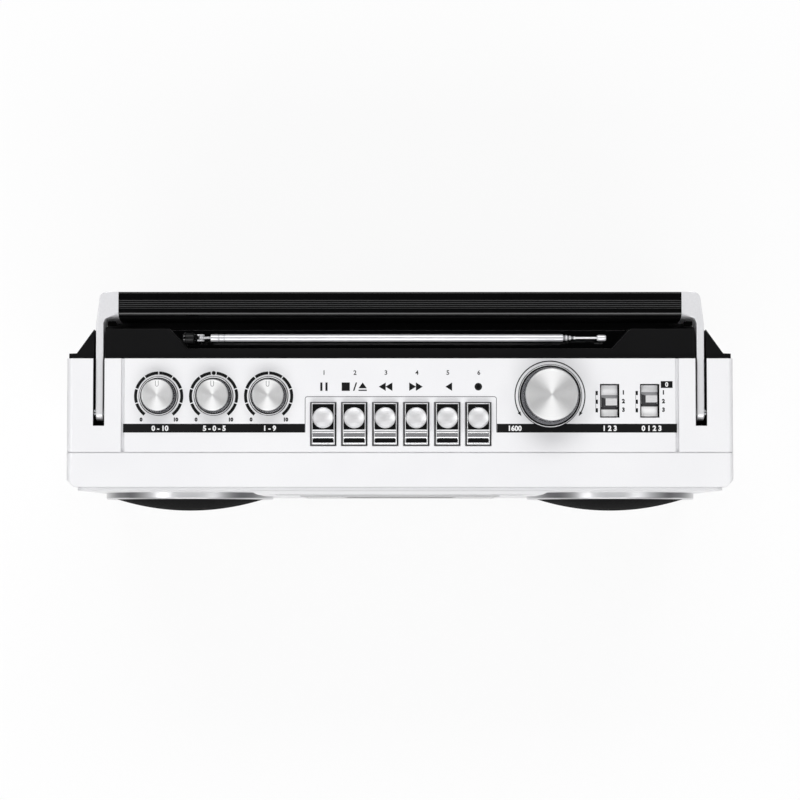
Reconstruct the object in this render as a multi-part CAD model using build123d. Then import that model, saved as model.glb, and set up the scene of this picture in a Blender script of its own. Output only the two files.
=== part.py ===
from build123d import *
import math
import os

# Radio cassette player. Millimetres, +Z up, the speakers face -Y, +X is the listener's right.
# The origin is on the ground under the middle of the whole object.

# Cabinet, a stack of three shells along Y
body_width = 420.0
body_height = 236.0
foot_height = 4.0
foot_radius = 9.0
foot_margin = 40.0
foot_inset = 12.0
wall = 2.5
corner_radius = 4.0
cabinet_front_y = -54.8
front_depth = 22.0
middle_depth = 59.1
rear_depth = 26.0
front_wall = 3.0
front_corner_chamfer = 5.0
seam_groove = 0.5

# Rear cabinet, which tapers towards the back
flange_inset = 1.2
flange_depth = 3.2
neck_inset = 6.0
shoulder_inset = 18.0
tail_inset = 24.6
flank_drop = 3.0
shelf_depth = 7.1
shelf_drop = 35.0
trough_drop = 12.0
trough_margin = 76.0
trough_slant = 11.5
trough_bar = 6.5

# Front plates
baffle_thickness = 2.0
baffle_side_margin = 6.0
baffle_edge_margin = 6.0
baffle_corner_radius = 6.0
bezel_height = 2.4
bezel_side_margin = 114.2
bezel_bevel = 5.1
bezel_low_z = 14.0
bezel_high_z = 230.0
bezel_ring_gap = 1.5

# Speakers
speaker_margin = 66.0
speaker_z = 100.0
ring_radius = 57.0
ring_inner_radius = 51.8
ring_height = 4.4
grille_radius = 51.5
grille_thickness = 0.9
grille_rise = 11.9
grille_lift = 3.6
grille_steps = 4
basket_flange_radius = 50.0
basket_mouth_radius = 46.0
basket_depth = 32.0
basket_tail_radius = 21.0
sheet_steel = 1.2
cone_radius = 42.0
cone_depth = 22.0
cone_paper = 0.8
dust_cap_radius = 13.0
magnet_radius = 27.0
magnet_depth = 14.0

# Dial
dial_half_width = 80.0
dial_low_z = 182.0
dial_high_z = 222.0
lens_thickness = 1.6
lens_lap = 2.0
dial_plate_thickness = 1.2
dial_plate_margin = 7.5
pointer_width = 1.0
pointer_thickness = 1.0
pointer_travel = 47.1
pointer_gap = 1.4
carriage_width = 10.0

# Tape deck
door_half_width = 65.4
door_ear = 6.0
door_gap = 0.6
door_low_z = 73.5
door_high_z = 169.4
door_thickness = 3.0
door_proud = 0.7
door_pivot_rise = 2.0
door_pin_radius = 1.0
door_pin_setback = 2.5
door_window_half_width = 36.0
door_window_low_z = 101.0
door_window_high_z = 127.0
window_lap = 2.0
well_wall = 2.5
well_depth = 12.8
well_floor_z = 72.0
tape_half_width = 50.2
tape_low_z = 86.0
tape_height = 63.8
rail_thickness = 2.5
rail_depth = 9.9
deck_plate_thickness = 1.2
deck_plate_margin = 7.5
spindle_half_spacing = 21.25
spindle_rise = 28.0
spindle_hub_radius = 3.0
spindle_shaft_radius = 1.5
spindle_reach = 7.0
spindle_disc_radius = 9.0
spindle_disc_width = 1.5
spindle_rib_height = 0.9
capstan_x = 26.0
capstan_z = 143.0
capstan_radius = 1.2
capstan_reach = 8.0
capstan_bush_radius = 3.2
capstan_bush_length = 3.0
flywheel_radius = 20.0
flywheel_width = 6.0
roller_radius = 6.0
roller_width = 6.0
head_travel = 3.56
head_bridge_height = 11.0
head_bridge_rise = 3.5
head_bridge_half = 34.0
head_plate_thickness = 1.2
head_depth = 7.5
head_half_width = 6.0
eraser_x = -22.0
eraser_half_width = 4.0
head_tab_height = 6.0
push_bar_thickness = 2.0
push_bar_drop = 14.0
motor_x = -38.0
motor_z = 150.0
motor_radius = 13.0
motor_length = 24.0
motor_shaft_radius = 0.8
motor_shaft_depth = 8.0
motor_pulley_gap = 4.0
pulley_radius = 4.0
pulley_rim = 1.2
belt_thickness = 0.8
belt_width = 3.0

# Controls on the top
panel_margin = 36.5
panel_groove = 2.0
panel_ledge = 6.0
knob_row_y = 2.5
knob_names = ["volume", "balance", "tone"]
knob_margin = 21.6
knob_pitch = 34.6
knob_flange_radius = 12.4
knob_base_radius = 10.7
knob_top_radius = 10.0
knob_height = 12.0
knob_gap = 0.4
pot_radius = 8.0
pot_height = 10.0
pot_shaft_radius = 3.0
bush_wall = 1.2
tuning_margin = 79.1
tuning_flange_radius = 20.1
tuning_base_radius = 18.0
tuning_top_radius = 16.7
tuning_height = 20.0
tuning_crown = 4.0
tuning_shaft_radius = 3.0
cord_pulley_radius = 6.0
cord_pulley_rim = 1.5
cord_pulley_width = 6.0
drum_offset = 32.4
drum_z = 205.0
drum_radius = 30.0
drum_width = 3.0
drum_hub_radius = 2.5
drum_hub_length = 3.0
capacitor_half_width = 12.0
capacitor_height = 32.0
capacitor_depth = 18.0

# Piano keys
key_names = ["pause", "stop_eject", "fast_forward", "rewind", "play", "record"]
key_pitch = 19.5
key_row_x = 0.5
key_window_width = 16.6
key_window_rear_y = -1.3
key_window_front_y = -29.0
key_width = 14.6
key_rear_gap = 0.8
key_front_gap = 0.9
key_pad_height = 4.5
key_tread_height = 1.5
key_step_y = -19.5
key_step_run = 2.6
key_dish_radius = 6.4
key_dish_depth = 0.9
key_dish_y = -11.4
key_shaft_y = 12.0
key_shaft_drop = 4.0
key_shaft_radius = 1.5
key_arm_width = 8.0
key_arm_height = 4.0
key_eye_radius = 3.0
push_rod_size = 3.0
push_rod_y = -20.0

# Slide switches
switch_margins = {"band": 41.5, "function": 16.3}
switch_y = -0.5
switch_window_width = 12.0
switch_window_length = 21.1
nib_width = 9.0
nib_length = 5.5
nib_height = 1.8
nib_ys = {"band": -1.3, "function": 0.6}
strip_length = 35.0
strip_thickness = 1.2
switch_body_width = 10.0
switch_body_length = 24.0
switch_body_height = 12.0
switch_groove_depth = 4.0
switch_end_wall = 2.0
switch_stem_size = 2.5

# Folding handle
handle_pivot_y = -7.6
arm_top_drop = 2.7
arm_height = 10.4
arm_margin = 20.35
arm_width = 4.7
arm_cap_width = 9.4
arm_cap_taper = 2.3
arm_corner_radius = 4.2
grip_front_y = 52.9
grip_depth = 15.8
grip_height = 21.0
grip_toe = 2.6
grip_edge_radius = 2.5
grip_rib_start = 5.0
grip_rib_pitch = 1.35
grip_rib_count = 5
grip_rib_size = 0.7
arm_flare_y = 46.0
handle_pin_radius = 2.5
slot_clearance = 1.2
slot_end_gap = 3.4
slot_wall = 2.5

# Telescopic antenna
antenna_y = 39.2
antenna_rise = -0.4
antenna_hinge_margin = 9.0
antenna_bracket_width = 5.0
antenna_bracket_radius = 3.3
antenna_stub_radius = 2.0
antenna_neck = 5.8
antenna_tube_length = 221.8
antenna_radii = [2.33, 1.85, 1.45, 1.05, 0.7]
antenna_tube_wall = 0.25
antenna_steps = [2.8, 5.0, 7.9, 27.4]
antenna_tail_step = 3.0
antenna_tip_radius = 1.95
antenna_tip_length = 6.0
fork_width = 4.6
tongue_thickness = 1.9

# Battery bay, mains inlet and inner parts
bay_half_width = 95.5
bay_low_z = 15.5
bay_high_z = 90.5
bay_depth = 35.3
battery_door_thickness = 2.0
battery_door_gap = 0.4
battery_door_lap = 1.5
contact_thickness = 0.6
contact_size = 16.0
contact_inset = 8.0
contact_spacing = 36.0
inlet_margin = 60.0
inlet_z = 40.0
inlet_width = 24.0
inlet_height = 16.0
inlet_depth = 14.0
inlet_slot_width = 16.4
inlet_slot_height = 8.0
inlet_pin_radius = 1.2
inlet_pin_spacing = 8.6
board_thickness = 1.6
board_drop = 20.6
board_side_gap = 1.5
board_front_y = -18.0
board_rear_y = 24.0
board_key_gap_left = -63.0
board_key_gap_right = 46.0
board_pillar_radius = 3.0
board_pillar_margin = 9.5
board_pillar_ys = [18.0, -12.0]
board_middle_pillar_xs = [-68.0, 70.0]
transformer_offset = -2.0
transformer_y = 11.0
transformer_width = 48.0
transformer_depth = 38.0
transformer_height = 38.0
screw_margin = 34.0
screw_spacing = 66.0
screw_low_z = 14.0
screw_high_z = 192.0
screw_radius = 1.4
screw_head_radius = 3.3
screw_head_height = 2.4
screw_grip = 10.0
screw_seat_depth = 22.3
screw_boss_radius = 5.5
screw_pillar_radius = 4.5

# Clearances
running_gap = 0.04
slide_gap = 0.3
fit_gap = 0.2

# Places that follow from the sizes
body_bottom = foot_height
body_top = foot_height + body_height
body_middle_z = (body_bottom + body_top) / 2
half_width = body_width / 2
foot_x = half_width - foot_margin
trough_front_half = half_width - trough_margin
trough_rear_half = trough_front_half + trough_slant
bezel_half_width = half_width - bezel_side_margin
speaker_x = half_width - speaker_margin
panel_half_width = half_width - panel_margin
knob_xs = {name: knob_margin - panel_half_width + knob_pitch * place for place, name in enumerate(knob_names)}
tuning_x = panel_half_width - tuning_margin
drum_x = tuning_x - drum_offset
switch_xs = {name: panel_half_width - margin for name, margin in switch_margins.items()}
arm_half_x = half_width - arm_margin
grip_half_width = arm_half_x - arm_width / 2 - arm_cap_width
antenna_hinge_x = antenna_hinge_margin - trough_front_half
antenna_tube_start_x = antenna_hinge_x + antenna_neck
antenna_tube_end_x = antenna_tube_start_x + antenna_tube_length
inlet_x = inlet_margin - half_width
board_half_width = panel_half_width - board_side_gap
transformer_x = speaker_x + transformer_offset
screw_places = [(half_width - screw_margin, screw_low_z), (half_width - screw_margin, screw_high_z),
                (half_width - screw_margin - screw_spacing, screw_high_z)]
board_pillars = [(board_pillar_margin - panel_half_width, y) for y in board_pillar_ys]
board_pillars += [(x, board_pillar_ys[0] + 2) for x in board_middle_pillar_xs]
board_pillars += [((switch_xs["band"] + switch_xs["function"]) / 2, y) for y in board_pillar_ys]
front_seam_y = cabinet_front_y + front_depth
rear_seam_y = front_seam_y + middle_depth
back_y = rear_seam_y + rear_depth
baffle_y = cabinet_front_y - baffle_thickness
bezel_y = baffle_y - bezel_height
front_inside_y = cabinet_front_y + front_wall
panel_under_z = body_top - wall
shelf_y = back_y - shelf_depth
shelf_z = body_top - shelf_drop
flank_z = body_top - flank_drop
trough_z = body_top - trough_drop
well_rear_y = baffle_y + well_depth
deck_back_y = well_rear_y + deck_plate_thickness
well_half_width = door_half_width + door_gap
well_roof_z = door_high_z + door_gap
door_front_y = bezel_y - door_proud
door_back_y = door_front_y + door_thickness
door_pivot_y = door_front_y + door_pin_setback
door_pivot_z = door_low_z + door_pivot_rise
spindle_z = tape_low_z + spindle_rise
arm_top_z = body_top - arm_top_drop
handle_pivot_z = arm_top_z - arm_height / 2
slot_floor_z = arm_top_z - arm_height - slot_clearance
slot_front_y = handle_pivot_y - arm_height / 2 - slot_end_gap
grip_back_y = grip_front_y + grip_depth
antenna_z = body_top + antenna_rise
board_z = body_top - board_drop
key_shaft_z = panel_under_z - key_shaft_drop
key_arm_low_z = key_shaft_z - key_arm_height / 2 - 0.5
dial_plate_y = front_inside_y
roller_rest_z = capstan_z + capstan_radius + roller_radius + slide_gap + head_travel
head_high_z = roller_rest_z + head_bridge_rise + head_bridge_height


def block(x0, x1, y0, y1, z0, z1):
    """A box between two corners."""
    return Pos((x0 + x1) / 2, (y0 + y1) / 2, (z0 + z1) / 2) * Box(x1 - x0, y1 - y0, z1 - z0)


def rod(axis, radius, start, end, first, second):
    """A cylinder along X, Y or Z from start to end, at the other two coordinates."""
    body = Pos(0, 0, (start + end) / 2) * Cylinder(radius, end - start)
    if axis == "x":
        return Pos(0, first, second) * Rot(0, 90, 0) * body
    if axis == "y":
        return Pos(first, 0, second) * Rot(-90, 0, 0) * body
    return Pos(first, second, 0) * body


def front_prism(sketch, y0, y1):
    """A sketch of X and Z, drawn out along Y."""
    return extrude(Plane.XZ.offset(-y1) * sketch, y1 - y0)


def side_prism(sketch, x0, x1):
    """A sketch of Y and Z, drawn out along X."""
    return extrude(Plane.YZ.offset(x0) * sketch, x1 - x0)


def plan_prism(sketch, z0, z1):
    """A sketch of X and Y, drawn out along Z."""
    return extrude(Plane.XY.offset(z0) * sketch, z1 - z0)


def outline(*points):
    """A closed face through the points."""
    return make_face(Polyline(*points, close=True))


def spun_y(points, x, z):
    """A profile of radius and Y, spun about an axis along Y."""
    return Pos(x, 0, z) * revolve(outline(*points), Axis.Y)


def spun_z(points, x, y):
    """A profile of radius and Z, spun about an axis along Z."""
    return Pos(x, y, 0) * revolve(Plane.XZ * outline(*points), Axis.Z)


def both_sides(shape):
    """The shape and its mirror image across the middle of the object."""
    return shape + mirror(shape, Plane.YZ)


def save(node, shape):
    export_step(shape, f"parts/{node}.step")


def shell_face(inset):
    """Front view of the cabinet, drawn in by an inset."""
    radius = max(corner_radius - inset, corner_radius / 3)
    return Pos(0, body_middle_z) * RectangleRounded(body_width - 2 * inset, body_height - 2 * inset, radius)


def front_plan(inset):
    """Plan of the front cabinet with its chamfered front corners."""
    side = half_width - inset
    front = cabinet_front_y + (front_wall if inset else 0)
    cut = front_corner_chamfer
    rear = front_seam_y
    return outline((-side, rear), (side, rear), (side, front + cut), (side - cut, front),
                   (-side + cut, front), (-side, front + cut))


def screw_axes():
    return [(side * x, z) for x, z in screw_places for side in (-1, 1)]


def front_cabinet():
    shell = front_prism(shell_face(0), cabinet_front_y, front_seam_y)
    shell &= plan_prism(front_plan(0), body_bottom, body_top)
    hollow = front_prism(shell_face(wall), cabinet_front_y, front_seam_y)
    hollow &= plan_prism(front_plan(wall), body_bottom, body_top)
    shell -= hollow
    shell -= front_prism(shell_face(0) - shell_face(seam_groove), front_seam_y - seam_groove, front_seam_y)
    pillar_end = back_y - screw_seat_depth - wall
    for x, z in screw_axes():
        shell += rod("y", screw_pillar_radius, cabinet_front_y + front_wall / 2, pillar_end, x, z)
        shell -= rod("y", screw_radius + fit_gap, pillar_end - screw_grip - 2, pillar_end, x, z)
    for x in (-speaker_x, speaker_x):
        shell -= rod("y", basket_mouth_radius, cabinet_front_y - 1, front_inside_y + 1, x, speaker_z)
    shell -= block(-dial_half_width - lens_lap, dial_half_width + lens_lap, cabinet_front_y - 1,
                   front_inside_y + 1, dial_low_z - lens_lap, dial_high_z + dial_plate_margin)
    side = well_half_width + well_wall + fit_gap
    shell -= block(-side, side, cabinet_front_y - 1, front_inside_y + 1,
                   well_floor_z - well_wall - fit_gap, well_roof_z + well_wall + fit_gap)
    return shell


def front_baffle():
    half = half_width - baffle_side_margin
    face = Pos(0, body_middle_z) * RectangleRounded(2 * half, body_height - 2 * baffle_edge_margin,
                                                    baffle_corner_radius)
    plate = front_prism(face, baffle_y, cabinet_front_y)
    for x in (-speaker_x, speaker_x):
        plate -= rod("y", basket_mouth_radius, baffle_y - 1, cabinet_front_y + 1, x, speaker_z)
    plate -= block(-dial_half_width, dial_half_width, baffle_y - 1, cabinet_front_y + 1,
                   dial_low_z, dial_high_z + lens_lap)
    side = well_half_width + well_wall + fit_gap
    plate -= block(-side, side, baffle_y - 1, cabinet_front_y + 1,
                   well_floor_z - well_wall - fit_gap, well_roof_z + well_wall + fit_gap)
    return plate


def centre_bezel():
    middle_z = (bezel_low_z + bezel_high_z) / 2
    tall = bezel_high_z - bezel_low_z
    base = Plane.XZ.offset(-baffle_y) * Pos(0, middle_z) * Rectangle(2 * bezel_half_width, tall)
    top = Plane.XZ.offset(-bezel_y) * Pos(0, middle_z) * Rectangle(
        2 * (bezel_half_width - bezel_bevel), tall - 2 * bezel_bevel)
    bezel = loft([base.face(), top.face()], ruled=True)
    waist = ring_radius + bezel_ring_gap
    for x in (-speaker_x, speaker_x):
        bezel -= spun_y([(0, bezel_y - 1), (waist + bezel_bevel * (1 + 1 / bezel_height), bezel_y - 1),
                         (waist, baffle_y), (waist, baffle_y + 1), (0, baffle_y + 1)], x, speaker_z)
    outer = well_half_width + well_wall
    bezel += block(-outer, outer, baffle_y, well_rear_y, well_floor_z - well_wall, well_roof_z + well_wall)
    bezel -= block(-well_half_width, well_half_width, bezel_y - 1, well_rear_y + 1, well_floor_z, well_roof_z)
    bezel -= block(-dial_half_width, dial_half_width, bezel_y - 1, baffle_y + 1, dial_low_z, dial_high_z)
    bezel -= block(-dial_half_width - lens_lap, dial_half_width + lens_lap, baffle_y - lens_thickness,
                   baffle_y + 1, dial_low_z - lens_lap, dial_high_z + lens_lap)
    pin_hole = rod("x", door_pin_radius + running_gap, -outer - 1, outer + 1, door_pivot_y, door_pivot_z)
    return bezel - pin_hole


def speaker_rings():
    face_y = baffle_y - ring_height
    points = [(ring_radius, baffle_y), (ring_radius - 1.2, face_y), (ring_inner_radius + 0.6, face_y),
              (ring_inner_radius, face_y + 0.6), (ring_inner_radius, baffle_y)]
    return both_sides(spun_y(points, speaker_x, speaker_z))


def dome_points(radius, rise, base_y):
    """Points from the top of a dome to its edge, on a sphere that rises towards the front."""
    sphere = (radius ** 2 + rise ** 2) / (2 * rise)
    full = math.asin(radius / sphere)
    slants = [full * step / grille_steps for step in range(grille_steps + 1)]
    return [(sphere * math.sin(slant), base_y - rise + sphere * (1 - math.cos(slant))) for slant in slants]


def speaker_grille(x):
    rise = grille_rise - grille_lift
    base_y = baffle_y - grille_lift
    inner = grille_radius - grille_thickness
    front = dome_points(grille_radius, rise, base_y)
    back = dome_points(inner, rise - grille_thickness, base_y)
    points = [*front, (grille_radius, baffle_y), (inner, baffle_y), *reversed(back)]
    return spun_y(points, x, speaker_z)


def speaker_baskets():
    mouth_y = front_inside_y
    tail_y = mouth_y + basket_depth
    points = [(basket_flange_radius, mouth_y), (basket_flange_radius, mouth_y + sheet_steel),
              (basket_mouth_radius, mouth_y + sheet_steel), (basket_tail_radius + 1, tail_y),
              (0, tail_y), (0, tail_y - sheet_steel), (basket_tail_radius - 1, tail_y - sheet_steel),
              (basket_mouth_radius - 2, mouth_y)]
    basket = spun_y(points, speaker_x, speaker_z)
    for angle in (45, 135, 225, 315):
        window = block(-9, 9, mouth_y + 5, tail_y - 6, 10, basket_flange_radius + 5)
        basket -= Pos(speaker_x, 0, speaker_z) * Rot(0, angle, 0) * window
    return both_sides(basket)


def speaker_cones():
    mouth_y = front_inside_y
    paper = cone_paper
    rim = basket_mouth_radius - 2.3
    throat = mouth_y + cone_depth
    cap_top = throat - dust_cap_radius / 2
    points = [(rim, mouth_y), (rim, mouth_y - paper), (cone_radius + 1, mouth_y - 3 * paper),
              (cone_radius - 1, mouth_y - paper), (dust_cap_radius, throat - paper), (0, cap_top),
              (0, cap_top + paper), (dust_cap_radius, throat + paper), (cone_radius, mouth_y + paper)]
    return both_sides(spun_y(points, speaker_x, speaker_z))


def speaker_magnets():
    top_y = front_inside_y + basket_depth
    magnet = rod("y", magnet_radius, top_y, top_y + magnet_depth, speaker_x, speaker_z)
    return both_sides(magnet)


def middle_cabinet():
    ring = front_prism(shell_face(0), front_seam_y, rear_seam_y)
    ring -= front_prism(shell_face(wall), front_seam_y, rear_seam_y)
    opening = panel_half_width + panel_groove
    ring -= block(-opening, opening, front_seam_y - 1, rear_seam_y + 1, panel_under_z, body_top + 1)
    ledge = block(panel_half_width - panel_ledge, opening + wall, front_seam_y, rear_seam_y,
                  panel_under_z - wall, panel_under_z)
    inner = arm_half_x - arm_width / 2 - slot_clearance
    outer = arm_half_x + arm_width / 2 + slot_clearance
    trough = block(inner - slot_wall, outer + slot_wall, slot_front_y - slot_wall, rear_seam_y,
                   slot_floor_z - slot_wall, body_top - wall / 2)
    slot = block(inner, outer, slot_front_y, rear_seam_y + 1, slot_floor_z, body_top + 1)
    pin_hole = rod("x", handle_pin_radius + running_gap / 2, inner - slot_wall - 1, outer + slot_wall + 1,
                   handle_pivot_y, handle_pivot_z)
    return ring + both_sides(ledge + trough) - both_sides(slot + pin_hole)


def key_centre(index):
    return key_row_x + key_pitch * (index - (len(key_names) - 1) / 2)


def control_panel():
    panel = block(-panel_half_width, panel_half_width, front_seam_y, rear_seam_y, panel_under_z, body_top)
    lug_left = key_centre(0) - key_window_width / 2 - 3
    lug_right = key_centre(len(key_names) - 1) + key_window_width / 2 + 3
    for x in (lug_left, lug_right):
        panel += block(x - 1.5, x + 1.5, key_shaft_y - 4, key_shaft_y + 4, key_shaft_z - 3.5, panel_under_z)
        panel -= rod("x", key_shaft_radius + running_gap / 2, x - 2, x + 2, key_shaft_y, key_shaft_z)
    for x, y in board_pillars:
        panel += rod("z", board_pillar_radius, board_z + board_thickness, panel_under_z, x, y)
    panel += rod("z", tuning_shaft_radius + 3, board_z + 8, panel_under_z, tuning_x, knob_row_y)
    panel -= rod("z", tuning_shaft_radius + running_gap, board_z, body_top + 1, tuning_x, knob_row_y)
    for x in knob_xs.values():
        bush = pot_shaft_radius + running_gap + bush_wall
        panel -= rod("z", bush + fit_gap, panel_under_z - 1, body_top + 1, x, knob_row_y)
    for index in range(len(key_names)):
        x = key_centre(index)
        panel -= block(x - key_window_width / 2, x + key_window_width / 2, key_window_front_y,
                       key_window_rear_y, panel_under_z - 1, body_top + 1)
    for x in switch_xs.values():
        panel -= block(x - switch_window_width / 2, x + switch_window_width / 2,
                       switch_y - switch_window_length / 2, switch_y + switch_window_length / 2,
                       panel_under_z - 1, body_top + 1)
    return panel


def knob(x):
    low = body_top + knob_gap
    top = body_top + knob_height
    bore = pot_shaft_radius
    stem_end = board_z + board_thickness + pot_height
    points = [(0, top - 0.5), (knob_top_radius - 1, top), (knob_top_radius, top - 0.5),
              (knob_base_radius, low + 1.6), (knob_flange_radius, low + 1.2), (knob_flange_radius, low),
              (bore, low), (bore, stem_end), (0, stem_end)]
    return spun_z(points, x, knob_row_y)


def tuning_knob():
    low = body_top + knob_gap
    top = body_top + tuning_height
    bore = tuning_shaft_radius
    bore_end = top - tuning_crown
    points = [(0, top - 0.6), (tuning_top_radius - 1.4, top), (tuning_top_radius, top - 0.6),
              (tuning_base_radius, low + 2.4), (tuning_flange_radius, low + 1.8), (tuning_flange_radius, low),
              (bore, low), (bore, bore_end), (0, bore_end)]
    return spun_z(points, tuning_x, knob_row_y)


def tuning_shaft():
    top = body_top + tuning_height - tuning_crown
    pulley_top = board_z - tuning_crown
    low = pulley_top - cord_pulley_width
    middle = (low + pulley_top) / 2
    rim = cord_pulley_radius + cord_pulley_rim
    points = [(0, low), (rim, low), (cord_pulley_radius, middle), (rim, pulley_top),
              (tuning_shaft_radius, pulley_top), (tuning_shaft_radius, top), (0, top)]
    return spun_z(points, tuning_x, knob_row_y)


def control_pots():
    pots = Part()
    low = board_z + board_thickness
    bore = pot_shaft_radius + running_gap
    for x in knob_xs.values():
        pot = rod("z", pot_radius, low, low + pot_height - 0.5, x, knob_row_y)
        pot += rod("z", bore + bush_wall, low + pot_height - 0.5, body_top, x, knob_row_y)
        pots += pot - rod("z", bore, low + pot_height - 0.5, body_top + 1, x, knob_row_y)
    return pots


def key(index):
    x = key_centre(index)
    rear = key_window_rear_y - key_rear_gap
    front = key_window_front_y + key_front_gap
    pad = body_top + key_pad_height
    tread = body_top + key_tread_height
    low = key_arm_low_z
    step_foot = key_step_y - key_step_run
    profile = outline((rear, low), (rear, pad - 1), (rear - 1, pad), (key_step_y, pad), (step_foot, tread),
                      (front + 2.5, tread - 0.8), (front, tread - 2.6), (front, low))
    cap = side_prism(profile, x - key_width / 2, x + key_width / 2)
    cap -= spun_z([(0, pad - key_dish_depth), (key_dish_radius, pad), (0, pad)], x, key_dish_y)
    arm = block(x - key_arm_width / 2, x + key_arm_width / 2, rear - 1, key_shaft_y, low,
                low + key_arm_height)
    arm += rod("x", key_eye_radius, x - key_arm_width / 2, x + key_arm_width / 2, key_shaft_y, key_shaft_z)
    bore = rod("x", key_shaft_radius + running_gap, x - key_width, x + key_width, key_shaft_y, key_shaft_z)
    return cap + arm - bore


def key_shaft():
    half = (len(key_names) * key_pitch) / 2 + 5
    return rod("x", key_shaft_radius, key_row_x - half, key_row_x + half, key_shaft_y, key_shaft_z)


def switch_slider(name):
    x = switch_xs[name]
    y = nib_ys[name]
    top = panel_under_z - slide_gap
    switch_top = board_z + board_thickness + switch_body_height
    strip = block(x - switch_window_width / 2 - 0.8, x + switch_window_width / 2 + 0.8,
                  switch_y - strip_length / 2, switch_y + strip_length / 2, top - strip_thickness, top)
    strip += block(x - nib_width / 2, x + nib_width / 2, y - nib_length / 2, y + nib_length / 2,
                   top - strip_thickness, body_top + nib_height)
    strip += block(x - switch_stem_size / 2, x + switch_stem_size / 2, switch_y - switch_stem_size / 2,
                   switch_y + switch_stem_size / 2, switch_top - switch_groove_depth + 1, top)
    return strip


def slide_switches():
    bodies = Part()
    low = board_z + board_thickness
    half = switch_body_width / 2
    groove = switch_stem_size / 2 + slide_gap
    for x in switch_xs.values():
        high = low + switch_body_height
        end = switch_body_length / 2
        body = block(x - half, x + half, switch_y - end, switch_y + end, low, high)
        bodies += body - block(x - groove, x + groove, switch_y - end + switch_end_wall,
                               switch_y + end - switch_end_wall, high - switch_groove_depth, high + 1)
    return bodies


def main_board():
    plate = block(-board_half_width, board_half_width, board_front_y, board_rear_y, board_z,
                  board_z + board_thickness)
    reach = well_rear_y + 1
    plate += block(board_key_gap_right, drum_x + capacitor_half_width + 6, reach, board_front_y, board_z,
                   board_z + board_thickness)
    plate -= block(board_key_gap_left, board_key_gap_right, board_front_y - 1, key_shaft_y + 5, board_z - 1,
                   board_z + board_thickness + 1)
    return plate - rod("z", cord_pulley_radius + 3, board_z - 1, board_z + 5, tuning_x, knob_row_y)


def dial_lens():
    edge = lens_lap - fit_gap
    return block(-dial_half_width - edge, dial_half_width + edge, baffle_y - lens_thickness, baffle_y,
                 dial_low_z - edge, dial_high_z + edge)


def dial_plate():
    margin = dial_plate_margin
    plate = block(-dial_half_width - margin, dial_half_width + margin, dial_plate_y,
                  dial_plate_y + dial_plate_thickness, dial_low_z - margin, dial_high_z + margin + 2)
    half = pointer_travel + carriage_width / 2
    return plate - block(-half, half, dial_plate_y - 1, dial_plate_y + 5, dial_high_z + 2.5, dial_high_z + 5)


def dial_pointer():
    back = dial_plate_y - pointer_gap
    high = dial_high_z + 4.5
    bar = block(-pointer_width / 2, pointer_width / 2, back - pointer_thickness, back, dial_low_z + 2, high)
    behind = dial_plate_y + dial_plate_thickness + slide_gap
    neck = block(-1.5, 1.5, back - pointer_thickness, behind, dial_high_z + 3, high)
    carriage = block(-carriage_width / 2, carriage_width / 2, behind, behind + 2, dial_high_z + 1, dial_high_z + 7)
    return bar + neck + carriage


def tuning_drum():
    front = deck_back_y - sheet_steel - drum_width
    rim = drum_radius + cord_pulley_rim
    back = front + drum_width
    points = [(0, front), (rim, front), (drum_radius, (front + back) / 2), (rim, back), (drum_hub_radius, back),
              (drum_hub_radius, back + drum_hub_length), (0, back + drum_hub_length)]
    return spun_y(points, drum_x, drum_z)


def tuning_capacitor():
    front = deck_back_y + 0.3
    half = capacitor_half_width
    body = block(drum_x - half, drum_x + half, front, front + capacitor_depth, board_z - capacitor_height, board_z)
    return body - rod("y", drum_hub_radius + running_gap, front - 1, front + drum_hub_length, drum_x, drum_z)


def cassette_door():
    door = block(-door_half_width, door_half_width, door_front_y, door_back_y, door_low_z, door_high_z)
    half = door_window_half_width
    low = door_window_low_z
    high = door_window_high_z
    door -= block(-half, half, door_front_y - 1, door_back_y + 1, low, high)
    door -= block(-half - window_lap, half + window_lap, door_back_y - 1.2, door_back_y + 1,
                  low - window_lap, high + window_lap)
    rail_inner = tape_half_width + slide_gap * 2
    rail_top = tape_low_z + tape_height
    rail = block(rail_inner, rail_inner + rail_thickness, door_back_y, door_back_y + rail_depth,
                 tape_low_z - 2, rail_top)
    door += both_sides(rail)
    door += block(-rail_inner, rail_inner, door_back_y, door_back_y + rail_depth, tape_low_z - 2, tape_low_z)
    ear = block(door_half_width - 4, door_half_width, door_front_y + 1, door_back_y + 2,
                door_low_z, door_low_z + door_ear)
    pin_end = well_half_width + well_wall - 0.5
    pin = rod("x", door_pin_radius, door_half_width - 2, pin_end, door_pivot_y, door_pivot_z)
    return door + both_sides(ear + pin)


def door_window():
    half = door_window_half_width
    low = door_window_low_z
    high = door_window_high_z
    lap = window_lap - fit_gap
    pane = block(-half - lap, half + lap, door_back_y - 1.2, door_back_y, low - lap, high + lap)
    step = block(-half + fit_gap, half - fit_gap, door_front_y + 0.4, door_back_y - 1.2,
                 low + fit_gap, high - fit_gap)
    return pane + step


def deck_plate():
    side = well_half_width + well_wall + deck_plate_margin
    plate = block(-side, side, well_rear_y, deck_back_y, well_floor_z - deck_plate_margin,
                  well_roof_z + deck_plate_margin)
    for x in (-spindle_half_spacing, spindle_half_spacing):
        plate -= rod("y", spindle_shaft_radius + running_gap, well_rear_y - 1, deck_back_y + 1, x, spindle_z)
    bush_end = deck_back_y + capstan_bush_length
    plate += rod("y", capstan_bush_radius, deck_back_y, bush_end, capstan_x, capstan_z)
    plate -= rod("y", capstan_radius + running_gap, well_rear_y - 1, bush_end + 1, capstan_x, capstan_z)
    rod_x = key_centre(4)
    half = push_rod_size / 2 + 1
    return plate - block(rod_x - half, rod_x + half, well_rear_y - 1, deck_back_y + 1,
                         head_high_z - head_tab_height - head_travel - 1, head_high_z + 1)


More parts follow.
